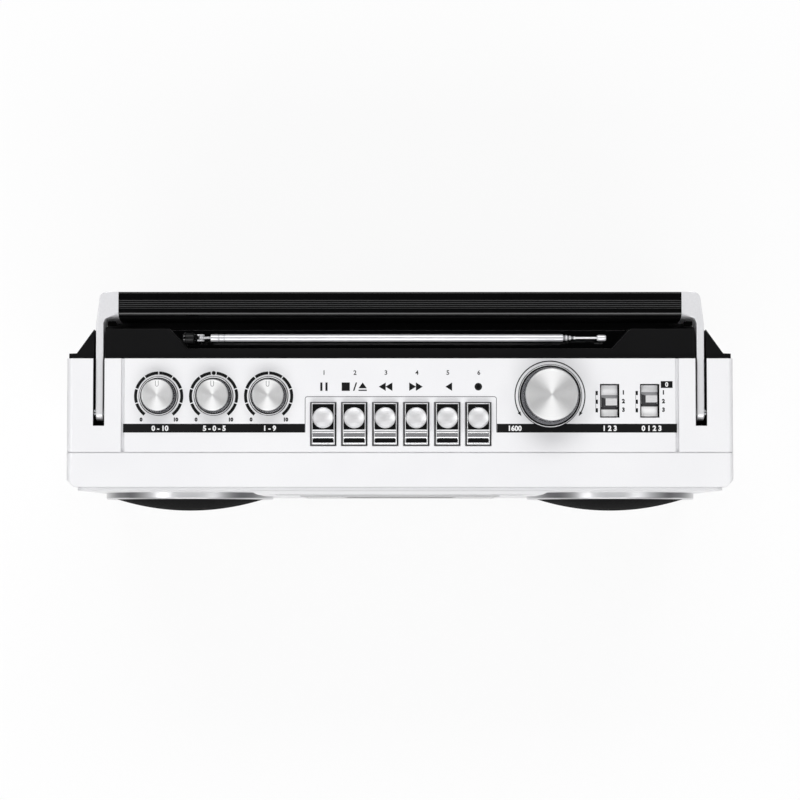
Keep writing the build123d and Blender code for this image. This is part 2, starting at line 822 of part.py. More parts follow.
def spindle(x):
    front = well_rear_y - spindle_reach
    disc = deck_back_y + slide_gap
    hub_end = well_rear_y - slide_gap
    tip = spindle_hub_radius * 0.8
    points = [(0, front), (spindle_hub_radius, front + tip), (spindle_hub_radius, hub_end),
              (spindle_shaft_radius, hub_end), (spindle_shaft_radius, disc), (spindle_disc_radius, disc),
              (spindle_disc_radius, disc + spindle_disc_width), (0, disc + spindle_disc_width)]
    hub = spun_y(points, x, spindle_z)
    for angle in (0, 60, 120):
        reach = spindle_hub_radius + spindle_rib_height
        rib = block(-0.5, 0.5, front + tip + 0.1, hub_end, -reach, reach)
        hub += Pos(x, 0, spindle_z) * Rot(0, angle, 0) * rib
    return hub


def head_block():
    plate_back = well_rear_y - slide_gap
    plate_front = plate_back - head_plate_thickness
    head_front = plate_front - head_depth
    low = head_high_z - head_bridge_height
    high = head_high_z
    head_low = roller_rest_z - 0.6
    bridge = block(-head_bridge_half, head_bridge_half, plate_front, plate_back, low, high)
    head = block(-head_half_width, head_half_width, head_front, plate_front, head_low, low + 8)
    eraser = block(eraser_x - eraser_half_width, eraser_x + eraser_half_width, head_front, plate_front,
                   head_low, low + 6)
    pin = rod("y", capstan_radius, head_front - 1, plate_front, capstan_x, roller_rest_z)
    arm = block(capstan_x - 2, capstan_x + 2, plate_front, plate_back, roller_rest_z - 2, low)
    rod_x = key_centre(4)
    half = push_rod_size / 2
    behind = deck_back_y + sheet_steel
    bar_high = board_z - push_bar_drop
    bar_low = bar_high - push_bar_thickness
    riser_back = behind + push_bar_thickness
    tab = block(rod_x - half, rod_x + half, plate_back, riser_back, high - head_tab_height, high)
    riser = block(rod_x - half, rod_x + half, behind, riser_back, high - head_tab_height, bar_high)
    reach = block(rod_x - half, rod_x + half, behind, push_rod_y + half, bar_low, bar_high)
    post = block(rod_x - half, rod_x + half, push_rod_y - half, push_rod_y + half, bar_low,
                 key_arm_low_z - slide_gap)
    return bridge + head + eraser + pin + arm + tab + riser + reach + post


def pinch_roller():
    front = well_rear_y - slide_gap - head_plate_thickness - head_depth
    back = front + roller_width
    roller = rod("y", roller_radius, front, back, capstan_x, roller_rest_z)
    return roller - rod("y", capstan_radius + running_gap, front - 1, back + 1, capstan_x, roller_rest_z)


def flywheel():
    front = deck_back_y + capstan_bush_length + slide_gap
    back = front + flywheel_width
    tip = well_rear_y - capstan_reach
    rim = flywheel_radius
    points = [(0, tip), (capstan_radius, tip), (capstan_radius, front), (rim, front), (rim, back),
              (rim - 3, back), (rim - 4, back - 2), (0, back - 2)]
    return spun_y(points, capstan_x, capstan_z)


def belt_plane_y():
    return deck_back_y + capstan_bush_length + slide_gap + flywheel_width / 2


def drive_belt():
    def loop(grow):
        small = Pos(motor_x, motor_z) * Circle(pulley_radius + grow)
        large = Pos(capstan_x, capstan_z) * Circle(flywheel_radius + grow)
        return make_hull(small.edges() + large.edges())
    middle = belt_plane_y()
    outer = front_prism(loop(slide_gap + belt_thickness), middle - belt_width / 2, middle + belt_width / 2)
    return outer - front_prism(loop(slide_gap), middle - belt_width, middle + belt_width)


def drive_motor():
    front = belt_plane_y() + flywheel_width / 2 + motor_pulley_gap
    body = rod("y", motor_radius, front, front + motor_length, motor_x, motor_z)
    body -= rod("y", motor_shaft_radius + running_gap, front - 1, front + motor_shaft_depth, motor_x, motor_z)
    for angle in (120, 180, 240):
        x = motor_x + (motor_radius - 2.5) * math.cos(math.radians(angle))
        z = motor_z + (motor_radius - 2.5) * math.sin(math.radians(angle))
        body += rod("y", 1.6, deck_back_y, front, x, z)
    return body


def motor_pulley():
    middle = belt_plane_y()
    shaft_end = middle + flywheel_width / 2 + motor_pulley_gap + motor_shaft_depth - 2
    rim = pulley_radius + pulley_rim
    half = belt_width / 2 + 0.4
    shaft = motor_shaft_radius
    front = middle - half - 0.8
    back = middle + half + 0.8
    points = [(0, front), (rim, front), (rim, middle - half), (pulley_radius, middle - half),
              (pulley_radius, middle + half), (rim, middle + half), (rim, back), (shaft, back),
              (shaft, shaft_end), (0, shaft_end)]
    return spun_y(points, motor_x, motor_z)


def rear_plan(inset):
    """Plan of the rear cabinet: a full flange, then sides that taper to the back."""
    front = rear_seam_y
    neck = front + flange_depth
    back = back_y - inset
    sides = [(flange_inset, front), (flange_inset, neck), (neck_inset, neck + 0.2),
             (shoulder_inset, shelf_y + 1.2), (tail_inset, back)]
    right = [(half_width - drop - inset, y) for drop, y in sides]
    return outline(*right, *[(-x, y) for x, y in reversed(right)])


def rear_cabinet():
    bottom = body_bottom
    case = plan_prism(rear_plan(0), bottom, flank_z)
    beyond = back_y + 1
    case -= block(-half_width, half_width, shelf_y, beyond, shelf_z, body_top)
    trough_front = rear_seam_y + trough_bar
    trough = outline((-trough_front_half, trough_front), (trough_front_half, trough_front),
                     (trough_rear_half, shelf_y), (trough_rear_half, beyond),
                     (-trough_rear_half, beyond), (-trough_rear_half, shelf_y))
    case -= plan_prism(trough, trough_z, body_top)
    hollow_plan = rear_plan(wall)
    hollow = plan_prism(hollow_plan, bottom + wall, shelf_z - wall)
    upper_top = min(trough_z, slot_floor_z) - wall
    upper = plan_prism(hollow_plan, shelf_z - wall - 1, upper_top)
    hollow += upper - block(-half_width, half_width, shelf_y - wall, beyond, shelf_z - wall, body_top)
    case -= hollow
    inner = arm_half_x - arm_width / 2 - slot_clearance
    outer = arm_half_x + arm_width / 2 + slot_clearance
    case -= both_sides(block(inner, outer, rear_seam_y - 1, beyond, slot_floor_z, body_top))
    case += antenna_bracket()
    bay_front = back_y - battery_door_thickness - bay_depth
    bay_back = back_y - battery_door_thickness
    case += block(-bay_half_width - wall, bay_half_width + wall, bay_front - wall, bay_back,
                  bay_low_z - wall, bay_high_z + wall)
    lap = battery_door_lap + battery_door_gap
    case -= block(-bay_half_width - lap, bay_half_width + lap, bay_back, beyond,
                  bay_low_z - lap, bay_high_z + lap)
    case -= block(-bay_half_width, bay_half_width, bay_front, beyond, bay_low_z, bay_high_z)
    case -= block(inlet_x - inlet_width / 2 - fit_gap, inlet_x + inlet_width / 2 + fit_gap, back_y - wall - 1,
                  beyond, inlet_z - inlet_height / 2 - fit_gap, inlet_z + inlet_height / 2 + fit_gap)
    seat = back_y - screw_seat_depth
    for x, z in screw_axes():
        case += rod("y", screw_boss_radius, seat - wall, back_y - wall / 2, x, z)
        case -= rod("y", screw_head_radius + fit_gap, seat, beyond, x, z)
        case -= rod("y", screw_radius + fit_gap, seat - wall - 1, seat + 1, x, z)
    return case


def antenna_bracket():
    right = antenna_hinge_x - 5
    left = right - antenna_bracket_width
    post = block(left, right, antenna_y - antenna_bracket_radius, antenna_y + antenna_bracket_radius,
                 trough_z, antenna_z)
    post += rod("x", antenna_bracket_radius, left, right, antenna_y, antenna_z)
    return post - rod("x", antenna_stub_radius + running_gap, left - 1, right + 1, antenna_y, antenna_z)


def antenna_stub():
    fork_left = antenna_hinge_x - 4.8
    post_left = antenna_hinge_x - 5 - antenna_bracket_width
    stub = rod("x", 3.0, post_left - 1.7, post_left - fit_gap, antenna_y, antenna_z)
    stub += rod("x", antenna_stub_radius, post_left - 1, fork_left + 1, antenna_y, antenna_z)
    half = fork_width / 2
    fork = block(fork_left, antenna_hinge_x + 2.2, antenna_y - half, antenna_y + half, antenna_z - 2, antenna_z + 2)
    gap = tongue_thickness / 2 + fit_gap
    fork -= block(antenna_hinge_x - 2.6, antenna_hinge_x + 3, antenna_y - gap, antenna_y + gap,
                  antenna_z - 3, antenna_z + 3)
    pin = rod("y", 0.7, antenna_y - half, antenna_y + half, antenna_hinge_x, antenna_z)
    return stub + fork + pin


def antenna_tube():
    """Outer tube, with the flat tongue that turns in the fork."""
    radius = antenna_radii[0]
    bore = radius - antenna_tube_wall
    start = antenna_tube_start_x
    tube = rod("x", radius, start, antenna_tube_end_x, antenna_y, antenna_z)
    tube -= rod("x", bore, start + 1.5, antenna_tube_end_x + 1, antenna_y, antenna_z)
    half = tongue_thickness / 2
    eye = 1.8
    tongue = block(antenna_hinge_x, start + 0.5, antenna_y - half, antenna_y + half, antenna_z - eye, antenna_z + eye)
    tongue += rod("y", eye, antenna_y - half, antenna_y + half, antenna_hinge_x, antenna_z)
    return tube + tongue - rod("y", 0.7 + running_gap, antenna_y - 3, antenna_y + 3, antenna_hinge_x, antenna_z)


def antenna_section(index):
    """Section 1 to 3 is a tube in the one before, and section 4 is the rod with its tip."""
    radius = antenna_radii[index]
    start = antenna_tube_start_x + antenna_tail_step * (index + 1)
    end = antenna_tube_end_x + antenna_steps[index - 1]
    if index < len(antenna_radii) - 1:
        tube = rod("x", radius, start, end, antenna_y, antenna_z)
        return tube - rod("x", radius - antenna_tube_wall, start - 1, end + 1, antenna_y, antenna_z)
    inner = rod("x", radius, start, end - 1, antenna_y, antenna_z)
    tip = rod("x", antenna_tip_radius, end - antenna_tip_length, end, antenna_y, antenna_z)
    return inner + chamfer(tip.edges().filter_by(GeomType.CIRCLE), 0.5)


def arm_plan():
    """Plan of the right arm: a flat bar that widens to the grip's end cap."""
    outer = arm_half_x + arm_width / 2
    inner = arm_half_x - arm_width / 2
    front = handle_pivot_y - arm_height / 2
    corner = grip_edge_radius
    cap_outer = outer - arm_cap_taper
    hollow = arm_corner_radius
    edges = [Line((inner, front), (outer, front)),
             Line((outer, front), (outer, grip_front_y - 5)),
             Line((outer, grip_front_y - 5), (cap_outer, grip_back_y - corner)),
             RadiusArc((cap_outer, grip_back_y - corner), (cap_outer - corner, grip_back_y), -corner),
             Line((cap_outer - corner, grip_back_y), (grip_half_width, grip_back_y)),
             Line((grip_half_width, grip_back_y), (grip_half_width, grip_front_y)),
             Line((grip_half_width, grip_front_y), (inner - hollow, grip_front_y)),
             RadiusArc((inner - hollow, grip_front_y), (inner, grip_front_y - hollow), hollow),
             Line((inner, grip_front_y - hollow), (inner, front))]
    return make_face(edges)


def arm_side():
    """Side view of an arm: round at the pivot, deeper at the grip."""
    top = arm_top_z
    low = top - arm_height
    front = handle_pivot_y
    end_low = top - grip_height
    edges = [Line((front, top), (grip_back_y, top)), Line((grip_back_y, top), (grip_back_y, end_low)),
             Line((grip_back_y, end_low), (grip_front_y, end_low)),
             Line((grip_front_y, end_low), (arm_flare_y, low)), Line((arm_flare_y, low), (front, low)),
             ThreePointArc((front, low), (front - arm_height / 2, handle_pivot_z), (front, top))]
    return make_face(edges)


def handle_arms():
    arm = plan_prism(arm_plan(), arm_top_z - grip_height, arm_top_z)
    arm &= side_prism(arm_side(), grip_half_width - 1, half_width)
    low = arm_top_z - grip_height
    toe = outline((grip_front_y + 1, arm_top_z - 1), (grip_front_y + 1, low), (grip_front_y - grip_toe, low))
    arm += side_prism(toe, grip_half_width, arm_half_x - arm_width / 2)
    arm -= rod("x", handle_pin_radius + running_gap, grip_half_width, half_width, handle_pivot_y, handle_pivot_z)
    return both_sides(arm)


def handle_grip():
    low = arm_top_z - grip_height
    section = outline((grip_front_y, arm_top_z), (grip_back_y, arm_top_z), (grip_back_y, low),
                      (grip_front_y - grip_toe, low))
    section = fillet(section.vertices(), grip_edge_radius)
    grip = side_prism(section, -grip_half_width, grip_half_width)
    first = grip_front_y + grip_rib_start
    for index in range(grip_rib_count):
        y = first + grip_rib_pitch * index
        grip -= block(-grip_half_width + 1, grip_half_width - 1, y, y + grip_rib_size / 2,
                      arm_top_z - grip_rib_size / 2, arm_top_z + 1)
    return grip


def handle_pivots():
    inner = arm_half_x - arm_width / 2 - slot_clearance - slot_wall
    outer = arm_half_x + arm_width / 2 + slot_clearance + slot_wall
    return both_sides(rod("x", handle_pin_radius, inner, outer, handle_pivot_y, handle_pivot_z))


def battery_door():
    lap = battery_door_lap
    low = bay_low_z - lap
    high = bay_high_z + lap
    half = bay_half_width + lap
    door = block(-half, half, back_y - battery_door_thickness, back_y, low, high)
    for x in (-22.0, 22.0):
        door -= block(x - 9, x + 9, back_y - 0.8, back_y + 1, high - 9, high - 7)
    return door


def battery_contacts():
    front = back_y - battery_door_thickness - bay_depth
    middle = (bay_low_z + bay_high_z) / 2
    plates = Part()
    half = contact_size / 2
    for z in (middle - contact_spacing / 2, middle + contact_spacing / 2):
        plates += both_sides(block(bay_half_width - contact_thickness, bay_half_width, front + contact_inset,
                                   front + contact_inset + contact_size, z - half, z + half))
    return plates


def mains_inlet():
    low = inlet_z - inlet_height / 2
    high = inlet_z + inlet_height / 2
    half = inlet_width / 2
    front = back_y - inlet_depth
    body = block(inlet_x - half, inlet_x + half, front, back_y, low, high)
    slot = Pos(inlet_x, inlet_z) * SlotOverall(inlet_slot_width, inlet_slot_height)
    body -= front_prism(slot, front + 2, back_y + 1)
    for side in (-1, 1):
        x = inlet_x + side * inlet_pin_spacing / 2
        body += rod("y", inlet_pin_radius, front + 1, back_y - 3, x, inlet_z)
    return body


def power_transformer():
    low = body_bottom + wall
    half = transformer_width / 2
    depth = transformer_depth / 2
    high = low + transformer_height
    x, y = transformer_x, transformer_y
    core = block(x - half, x + half, y - depth / 2, y + depth / 2, low, high)
    coil = block(x - half * 0.62, x + half * 0.62, y - depth, y + depth, low + 6, high - 6)
    foot = block(x - half - 6, x + half + 6, y - depth / 2, y + depth / 2, low, low + 2)
    return core + coil + foot


def rubber_feet():
    feet = Part()
    for y in (cabinet_front_y + foot_inset, back_y - foot_inset):
        points = [(0, 0), (foot_radius - 1, 0), (foot_radius, foot_height), (0, foot_height)]
        feet += both_sides(spun_z(points, foot_x, y))
    return feet


def cabinet_screws():
    screws = Part()
    seat = back_y - screw_seat_depth
    tip = seat - wall - screw_grip
    for x, z in screw_axes():
        screws += rod("y", screw_head_radius, seat, seat + screw_head_height, x, z)
        screws += rod("y", screw_radius, tip, seat, x, z)
    return screws


os.makedirs("parts", exist_ok=True)
for side_name, sign in (("left", -1), ("right", 1)):
    save(f"speaker_grille_{side_name}", speaker_grille(sign * speaker_x))
for knob_name, knob_x in knob_xs.items():
    save(f"{knob_name}_knob", knob(knob_x))
for key_index, key_name in enumerate(key_names):
    save(f"key_{key_name}", key(key_index))
for switch_name in switch_xs:
    save(f"{switch_name}_slider", switch_slider(switch_name))
for section_index in (1, 2, 3):
    save(f"antenna_section_{section_index}", antenna_section(section_index))
save("antenna_rod", antenna_section(4))
save("supply_spindle", spindle(-spindle_half_spacing))
save("takeup_spindle", spindle(spindle_half_spacing))
single_pieces = [front_cabinet, front_baffle, centre_bezel, speaker_rings, speaker_baskets, speaker_cones,
                 speaker_magnets, middle_cabinet, control_panel, handle_arms,
                 rear_cabinet, tuning_knob, tuning_shaft, control_pots, key_shaft, slide_switches, main_board,
                 dial_lens, dial_plate, dial_pointer, tuning_drum, tuning_capacitor, cassette_door, door_window,
                 deck_plate, head_block, pinch_roller, flywheel, drive_belt, drive_motor, motor_pulley,
                 antenna_stub, antenna_tube, handle_grip, handle_pivots, battery_door, battery_contacts,
                 mains_inlet, power_transformer, rubber_feet, cabinet_screws]
for make_piece in single_pieces:
    save(make_piece.__name__, make_piece())
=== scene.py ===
import bmesh
import bpy
import math
from mathutils import Matrix, Vector


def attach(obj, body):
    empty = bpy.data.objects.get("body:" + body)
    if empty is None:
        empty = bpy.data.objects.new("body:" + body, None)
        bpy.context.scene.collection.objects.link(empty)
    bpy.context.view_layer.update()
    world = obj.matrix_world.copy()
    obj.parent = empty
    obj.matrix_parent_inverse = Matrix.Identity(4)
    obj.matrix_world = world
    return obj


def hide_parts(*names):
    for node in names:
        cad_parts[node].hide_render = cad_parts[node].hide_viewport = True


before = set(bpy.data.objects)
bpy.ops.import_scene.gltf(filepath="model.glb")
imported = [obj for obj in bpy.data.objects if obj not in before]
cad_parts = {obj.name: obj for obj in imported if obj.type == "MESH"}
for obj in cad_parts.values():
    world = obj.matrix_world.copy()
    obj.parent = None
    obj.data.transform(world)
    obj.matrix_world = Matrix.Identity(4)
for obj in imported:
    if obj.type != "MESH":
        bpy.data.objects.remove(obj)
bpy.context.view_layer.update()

# Radio cassette player. Lengths are written in millimetres and become metres when a piece is finished.
# +Z is up, the speakers face -Y, and +X is the listener's right.
MM = 0.001
BODY_TOP = 240.0
PANEL_UNDER = 237.5
REAR_SEAM_Y = 26.3
BAFFLE_Y = -56.8
BACK_Y = 52.3
SPEAKER_X = 144.0
SPEAKER_Z = 100.0
KNOB_ROW_Y = 2.5
KNOB_XS = {"volume": -151.9, "balance": -117.3, "tone": -82.7}
TUNING_X = 94.4
KEY_NAMES = ["pause", "stop_eject", "fast_forward", "rewind", "play", "record"]
KEY_PITCH = 19.5
KEY_ROW_X = 0.5
SWITCH_XS = {"band": 132.0, "function": 157.2}
SWITCH_Y = -0.5
NIB_YS = {"band": -1.3, "function": 0.6}
ARM_X = 189.65
ARM_HALF = 2.35
GRIP_HALF = 177.9
GRIP_TOP = 237.3
GRIP_LOW = GRIP_TOP - 21.0
GRIP_FRONT_Y = 52.9
GRIP_BACK_Y = 68.7
ANTENNA_Y = 39.2
ANTENNA_Z = 239.6
ANTENNA_HINGE_X = -125.0
RING_RADIUS = 57.0
INK = 0.05


def srgb(colour):
    """A written sRGB colour as the linear one that shaders take."""
    shares = [int(colour[place:place + 2], 16) / 255 for place in (1, 3, 5)]
    return tuple(s / 12.92 if s <= 0.04045 else ((s + 0.055) / 1.055) ** 2.4 for s in shares) + (1.0,)


def add(tree, kind, settings=None, values=None, links=None):
    """Adds one shader node with its settings, its values and its links."""
    made = tree.nodes.new(kind)
    for name, value in (settings or {}).items():
        setattr(made, name, value)
    for name, value in (values or {}).items():
        made.inputs[name].default_value = value
    for name, socket in (links or {}).items():
        tree.links.new(socket, made.inputs[name])
    return made


def new_material(name, metallic):
    """A new finish: its material, its node tree and its shader."""
    material = bpy.data.materials.new(name)
    material.use_nodes = True
    shader = material.node_tree.nodes["Principled BSDF"]
    shader.inputs["Metallic"].default_value = metallic
    return material, material.node_tree, shader


def colour_between(tree, shader, first, second, share):
    """Colours the shader between a first and a second colour, by a share."""
    mix = add(tree, "ShaderNodeMix", {"data_type": "RGBA"}, {6: srgb(first), 7: srgb(second)}, {0: share})
    tree.links.new(mix.outputs[2], shader.inputs["Base Color"])


def grained(name, colour, tone, metallic, roughness, grain, depth, spread=0.04, edge=0.0, **shader_values):
    """A finish with a fine grain and large soft patches. Grain, depth and soft edges are in mm."""
    material, tree, shader = new_material(name, metallic)
    for socket, value in shader_values.items():
        shader.inputs[socket.replace("_", " ")].default_value = value
    place = add(tree, "ShaderNodeTexCoord")
    noise = add(tree, "ShaderNodeTexNoise", values={"Scale": 1 / (grain * MM), "Detail": 3.0},
                links={"Vector": place.outputs["Object"]})
    patches = add(tree, "ShaderNodeTexNoise", values={"Scale": 1 / (60 * MM), "Detail": 2.0},
                  links={"Vector": place.outputs["Object"]})
    both = add(tree, "ShaderNodeMath", {"operation": "MULTIPLY"},
               links={0: noise.outputs["Fac"], 1: patches.outputs["Fac"]})
    shade = add(tree, "ShaderNodeMapRange", values={"From Min": 0.1, "From Max": 0.42},
                links={"Value": both.outputs[0]})
    colour_between(tree, shader, tone, colour, shade.outputs["Result"])
    rough = add(tree, "ShaderNodeMapRange",
                values={"From Min": 0.3, "From Max": 0.7, "To Min": roughness + spread, "To Max": roughness},
                links={"Value": patches.outputs["Fac"]})
    bump = add(tree, "ShaderNodeBump", values={"Strength": 1.0, "Distance": depth * MM},
               links={"Height": noise.outputs["Fac"]})
    if edge:
        eased = add(tree, "ShaderNodeBevel", {"samples": 4}, {"Radius": edge * MM})
        tree.links.new(eased.outputs["Normal"], bump.inputs["Normal"])
    tree.links.new(rough.outputs["Result"], shader.inputs["Roughness"])
    tree.links.new(bump.outputs["Normal"], shader.inputs["Normal"])
    return material


def turned(name, colour, tone, roughness, centre, axis, ring=0.25):
    """Metal turned on a lathe: fine rings about an axis, so its shine opens out in two lobes."""
    material, tree, shader = new_material(name, metallic=0.78)
    shader.inputs["Anisotropic"].default_value = 0.75
    place = add(tree, "ShaderNodeTexCoord")
    spot = add(tree, "ShaderNodeVectorMath", {"operation": "SUBTRACT"}, {1: [c * MM for c in centre]},
               {0: place.outputs["Object"]})
    along = add(tree, "ShaderNodeVectorMath", {"operation": "CROSS_PRODUCT"}, {1: axis},
                {0: spot.outputs[0]})
    outward = add(tree, "ShaderNodeVectorMath", {"operation": "CROSS_PRODUCT"}, {1: axis},
                  {0: along.outputs[0]})
    world = add(tree, "ShaderNodeVectorTransform",
                {"vector_type": "VECTOR", "convert_from": "OBJECT", "convert_to": "WORLD"},
                links={0: outward.outputs[0]})
    tangent = add(tree, "ShaderNodeVectorMath", {"operation": "NORMALIZE"}, links={0: world.outputs[0]})
    flat = add(tree, "ShaderNodeVectorMath", {"operation": "LENGTH"}, links={0: along.outputs[0]})
    rings = add(tree, "ShaderNodeMath", {"operation": "MULTIPLY"}, {1: 1 / (ring * MM)},
                {0: flat.outputs["Value"]})
    grooves = add(tree, "ShaderNodeTexNoise", {"noise_dimensions": "1D"}, {"Scale": 1.0, "Detail": 2.0},
                  {"W": rings.outputs[0]})
    colour_between(tree, shader, tone, colour, grooves.outputs["Fac"])
    rough = add(tree, "ShaderNodeMapRange",
                values={"From Min": 0.3, "From Max": 0.7, "To Min": roughness - 0.05,
                        "To Max": roughness + 0.05},
                links={"Value": grooves.outputs["Fac"]})
    tree.links.new(rough.outputs["Result"], shader.inputs["Roughness"])
    tree.links.new(tangent.outputs[0], shader.inputs["Tangent"])
    return material


def painted_reflection_bands(name, metallic, roughness, first, second, rise, fall, back, middle_x=None):
    """Painted reflection for a curved plate: its colour swings from a first to a second and partly back, in
    place of the room it would mirror.

    The swing follows Y, or the distance from middle_x. Rise and fall are stretches in mm.
    """
    material, tree, shader = new_material(name, metallic)
    shader.inputs["Roughness"].default_value = roughness
    place = add(tree, "ShaderNodeTexCoord")
    parts = add(tree, "ShaderNodeSeparateXYZ", links={0: place.outputs["Object"]})
    measure = parts.outputs["Y"]
    if middle_x is not None:
        offset = add(tree, "ShaderNodeMath", {"operation": "SUBTRACT"}, {1: middle_x * MM},
                     {0: parts.outputs["X"]})
        side = add(tree, "ShaderNodeMath", {"operation": "ABSOLUTE"}, links={0: offset.outputs[0]})
        measure = side.outputs[0]
    up, down = [add(tree, "ShaderNodeMapRange", {"interpolation_type": "SMOOTHSTEP"},
                    {"From Min": near * MM, "From Max": far * MM, "To Max": most}, {"Value": measure})
                for (near, far), most in ((rise, 1.0), (fall, back))]
    share = add(tree, "ShaderNodeMath", {"operation": "SUBTRACT"},
                links={0: up.outputs["Result"], 1: down.outputs["Result"]})
    colour_between(tree, shader, first, second, share.outputs[0])
    return material


# Silver lacquer on moulded ABS: near white, with a fine metal flake that only softens the shine
silver_lacquer = grained("silver_lacquer_on_abs", "#EBEBEC", "#E4E4E6", 0.0, 0.34, 0.5, 0.004, edge=0.9,
                         Coat_Weight=0.25, Coat_Roughness=0.2)
# Matt black ABS with a spark-eroded grain, which looks charcoal under a soft light
matt_black = grained("spark_grained_black_abs", "#0B0B0C", "#070708", 0.0, 0.34, 0.6, 0.006, edge=0.6,
                     Specular_IOR_Level=0.22)
# Polished black ABS: near black, with hard reflections; also used as painted shade in the knobs' grooves,
# the switch windows' wider walls and the handle's inner corners
gloss_black_and_shade_paint = grained("polished_black_abs_and_painted_shade", "#040405", "#020203", 0.0, 0.1, 4.0, 0.002, spread=0.05,
                      edge=0.5)
# Extruded black grip with a polished skin
grip_black = grained("polished_black_grip_abs", "#09090A", "#060606", 0.0, 0.14, 2.0, 0.001,
                     Coat_Weight=0.12, Coat_Roughness=0.04, Specular_IOR_Level=0.28)
# Chrome plate on ABS: a mirror with a little haze
chrome = grained("bright_chrome_plate", "#E4E4E6", "#D8D8DB", 1.0, 0.05, 3.0, 0.001, spread=0.04)
# Drawn brass tube with bright chrome, a little softer than the keys
tube_chrome = grained("drawn_chrome_tube", "#DCDCDE", "#D0D0D3", 0.6, 0.3, 6.0, 0.0005)
# Satin chrome, sandblasted before plating
satin_chrome = grained("satin_chrome_plate", "#E4E4E5", "#DADADB", 0.72, 0.42, 0.4, 0.006)
# Silver lacquered handle arms, with a clear coat
arm_silver = grained("silver_lacquered_arm", "#E9E9EB", "#E0E0E2", 0.2, 0.3, 1.0, 0.002, Coat_Weight=0.4,
                     Coat_Roughness=0.08)
# Chrome on the fluted skirts, dulled by its fine flutes
skirt_chrome = grained("fluted_chrome_plate", "#C8C8CB", "#B6B6BA", 1.0, 0.1, 2.0, 0.001)
# The same plate on the flanges' narrow rims, painted dark as a painted reflection of the dark room
rim_chrome_painted_dark = grained("rim_chrome_plate_painted_reflection", "#6A6A6D", "#5C5C5F", 1.0, 0.12, 2.0, 0.001)
# Grey moulded wells round the keys; the antenna's necks also use it as painted shade in their grooves
grey_well_and_neck_shade = grained("grey_moulded_well_abs_and_painted_neck_shade", "#7C7C7F", "#6C6C6F", 0.0, 0.45, 0.5, 0.01)
# One silver plastic on the slide switches, in lit and shaded copies: the front strip is painted light, and
# the rear strip and the nib's crown, rear and sides are greys of painted shade
slider_rear_painted_shade = grained("silver_slider_rear_abs_painted_shade", "#F0F0F1", "#E6E6E7", 0.0, 0.3, 0.5, 0.006)
slider_painted_light = grained("silver_slider_abs_painted_light", "#FAFAFA", "#F2F2F2", 0.0, 0.25, 0.5, 0.006)
nib_crown_painted_shade = grained("silver_switch_nib_crown_painted_shade", "#D6D6D6", "#CACACB", 0.0, 0.3, 0.5, 0.006)
nib_rear_painted_shade = grained("silver_switch_nib_rear_painted_shade", "#A6A6A8", "#9A9A9C", 0.0, 0.3, 0.5, 0.006)
nib_side_painted_shade = grained("silver_switch_nib_side_painted_shade", "#4A4A4C", "#3E3E40", 0.0, 0.25, 0.5, 0.006)
# Black screen-printed ink, slightly raised and satin; the key wells' ledges also use it as painted shadow in
# the gaps round the keys
black_ink_and_gap_shade = grained("black_screen_ink_and_painted_gap_shade", "#0C0C0D", "#111112", 0.0, 0.34, 0.3, 0.002, Specular_IOR_Level=0.3)
white_ink = grained("white_screen_ink", "#F2F2F2", "#E4E4E4", 0.0, 0.4, 0.3, 0.004)
grey_ink = grained("grey_screen_ink", "#6E6E71", "#626265", 0.0, 0.4, 0.3, 0.004)
red_ink = grained("red_screen_ink", "#B3261E", "#9C2019", 0.0, 0.4, 0.3, 0.004)
# Punched steel grille, stove enamelled in black
grille_steel = grained("black_enamelled_steel_mesh", "#0A0A0B", "#060607", 0.0, 0.75, 0.5, 0.004,
                       Specular_IOR_Level=0.07)
# Plain finishes of what lies inside and underneath
rubber = grained("black_moulded_rubber", "#1B1B1B", "#131313", 0.0, 0.75, 0.8, 0.03)
paper = grained("pressed_paper_cone", "#1D1C1B", "#121110", 0.0, 0.85, 0.9, 0.06)
zinc = grained("zinc_plated_steel", "#C3C5C8", "#A9ACB0", 1.0, 0.3, 1.5, 0.006)
ferrite = grained("ground_ferrite", "#2C2C2E", "#1F1F21", 0.1, 0.6, 0.8, 0.02)
brass = grained("turned_brass", "#C9A24E", "#B08A3C", 1.0, 0.25, 1.0, 0.004)
board_green = grained("solder_masked_board", "#20502F", "#173C23", 0.0, 0.4, 1.2, 0.02)
nylon = grained("white_moulded_nylon", "#E8E6DF", "#DCD9D0", 0.0, 0.4, 0.8, 0.01)
dial_black = grained("black_dial_print", "#131416", "#0D0E10", 0.0, 0.4, 0.5, 0.003)
# Clear acrylic: almost no tint, with the reflections of a smooth sheet
acrylic = grained("clear_acrylic_sheet", "#F4F6F6", "#EEF1F1", 0.0, 0.03, 6.0, 0.001, spread=0.02,
                  Transmission_Weight=1.0, IOR=1.49)
smoked = grained("smoked_acrylic_sheet", "#9A9B9E", "#909195", 0.0, 0.04, 6.0, 0.001, spread=0.02,
                 Transmission_Weight=1.0, IOR=1.49)

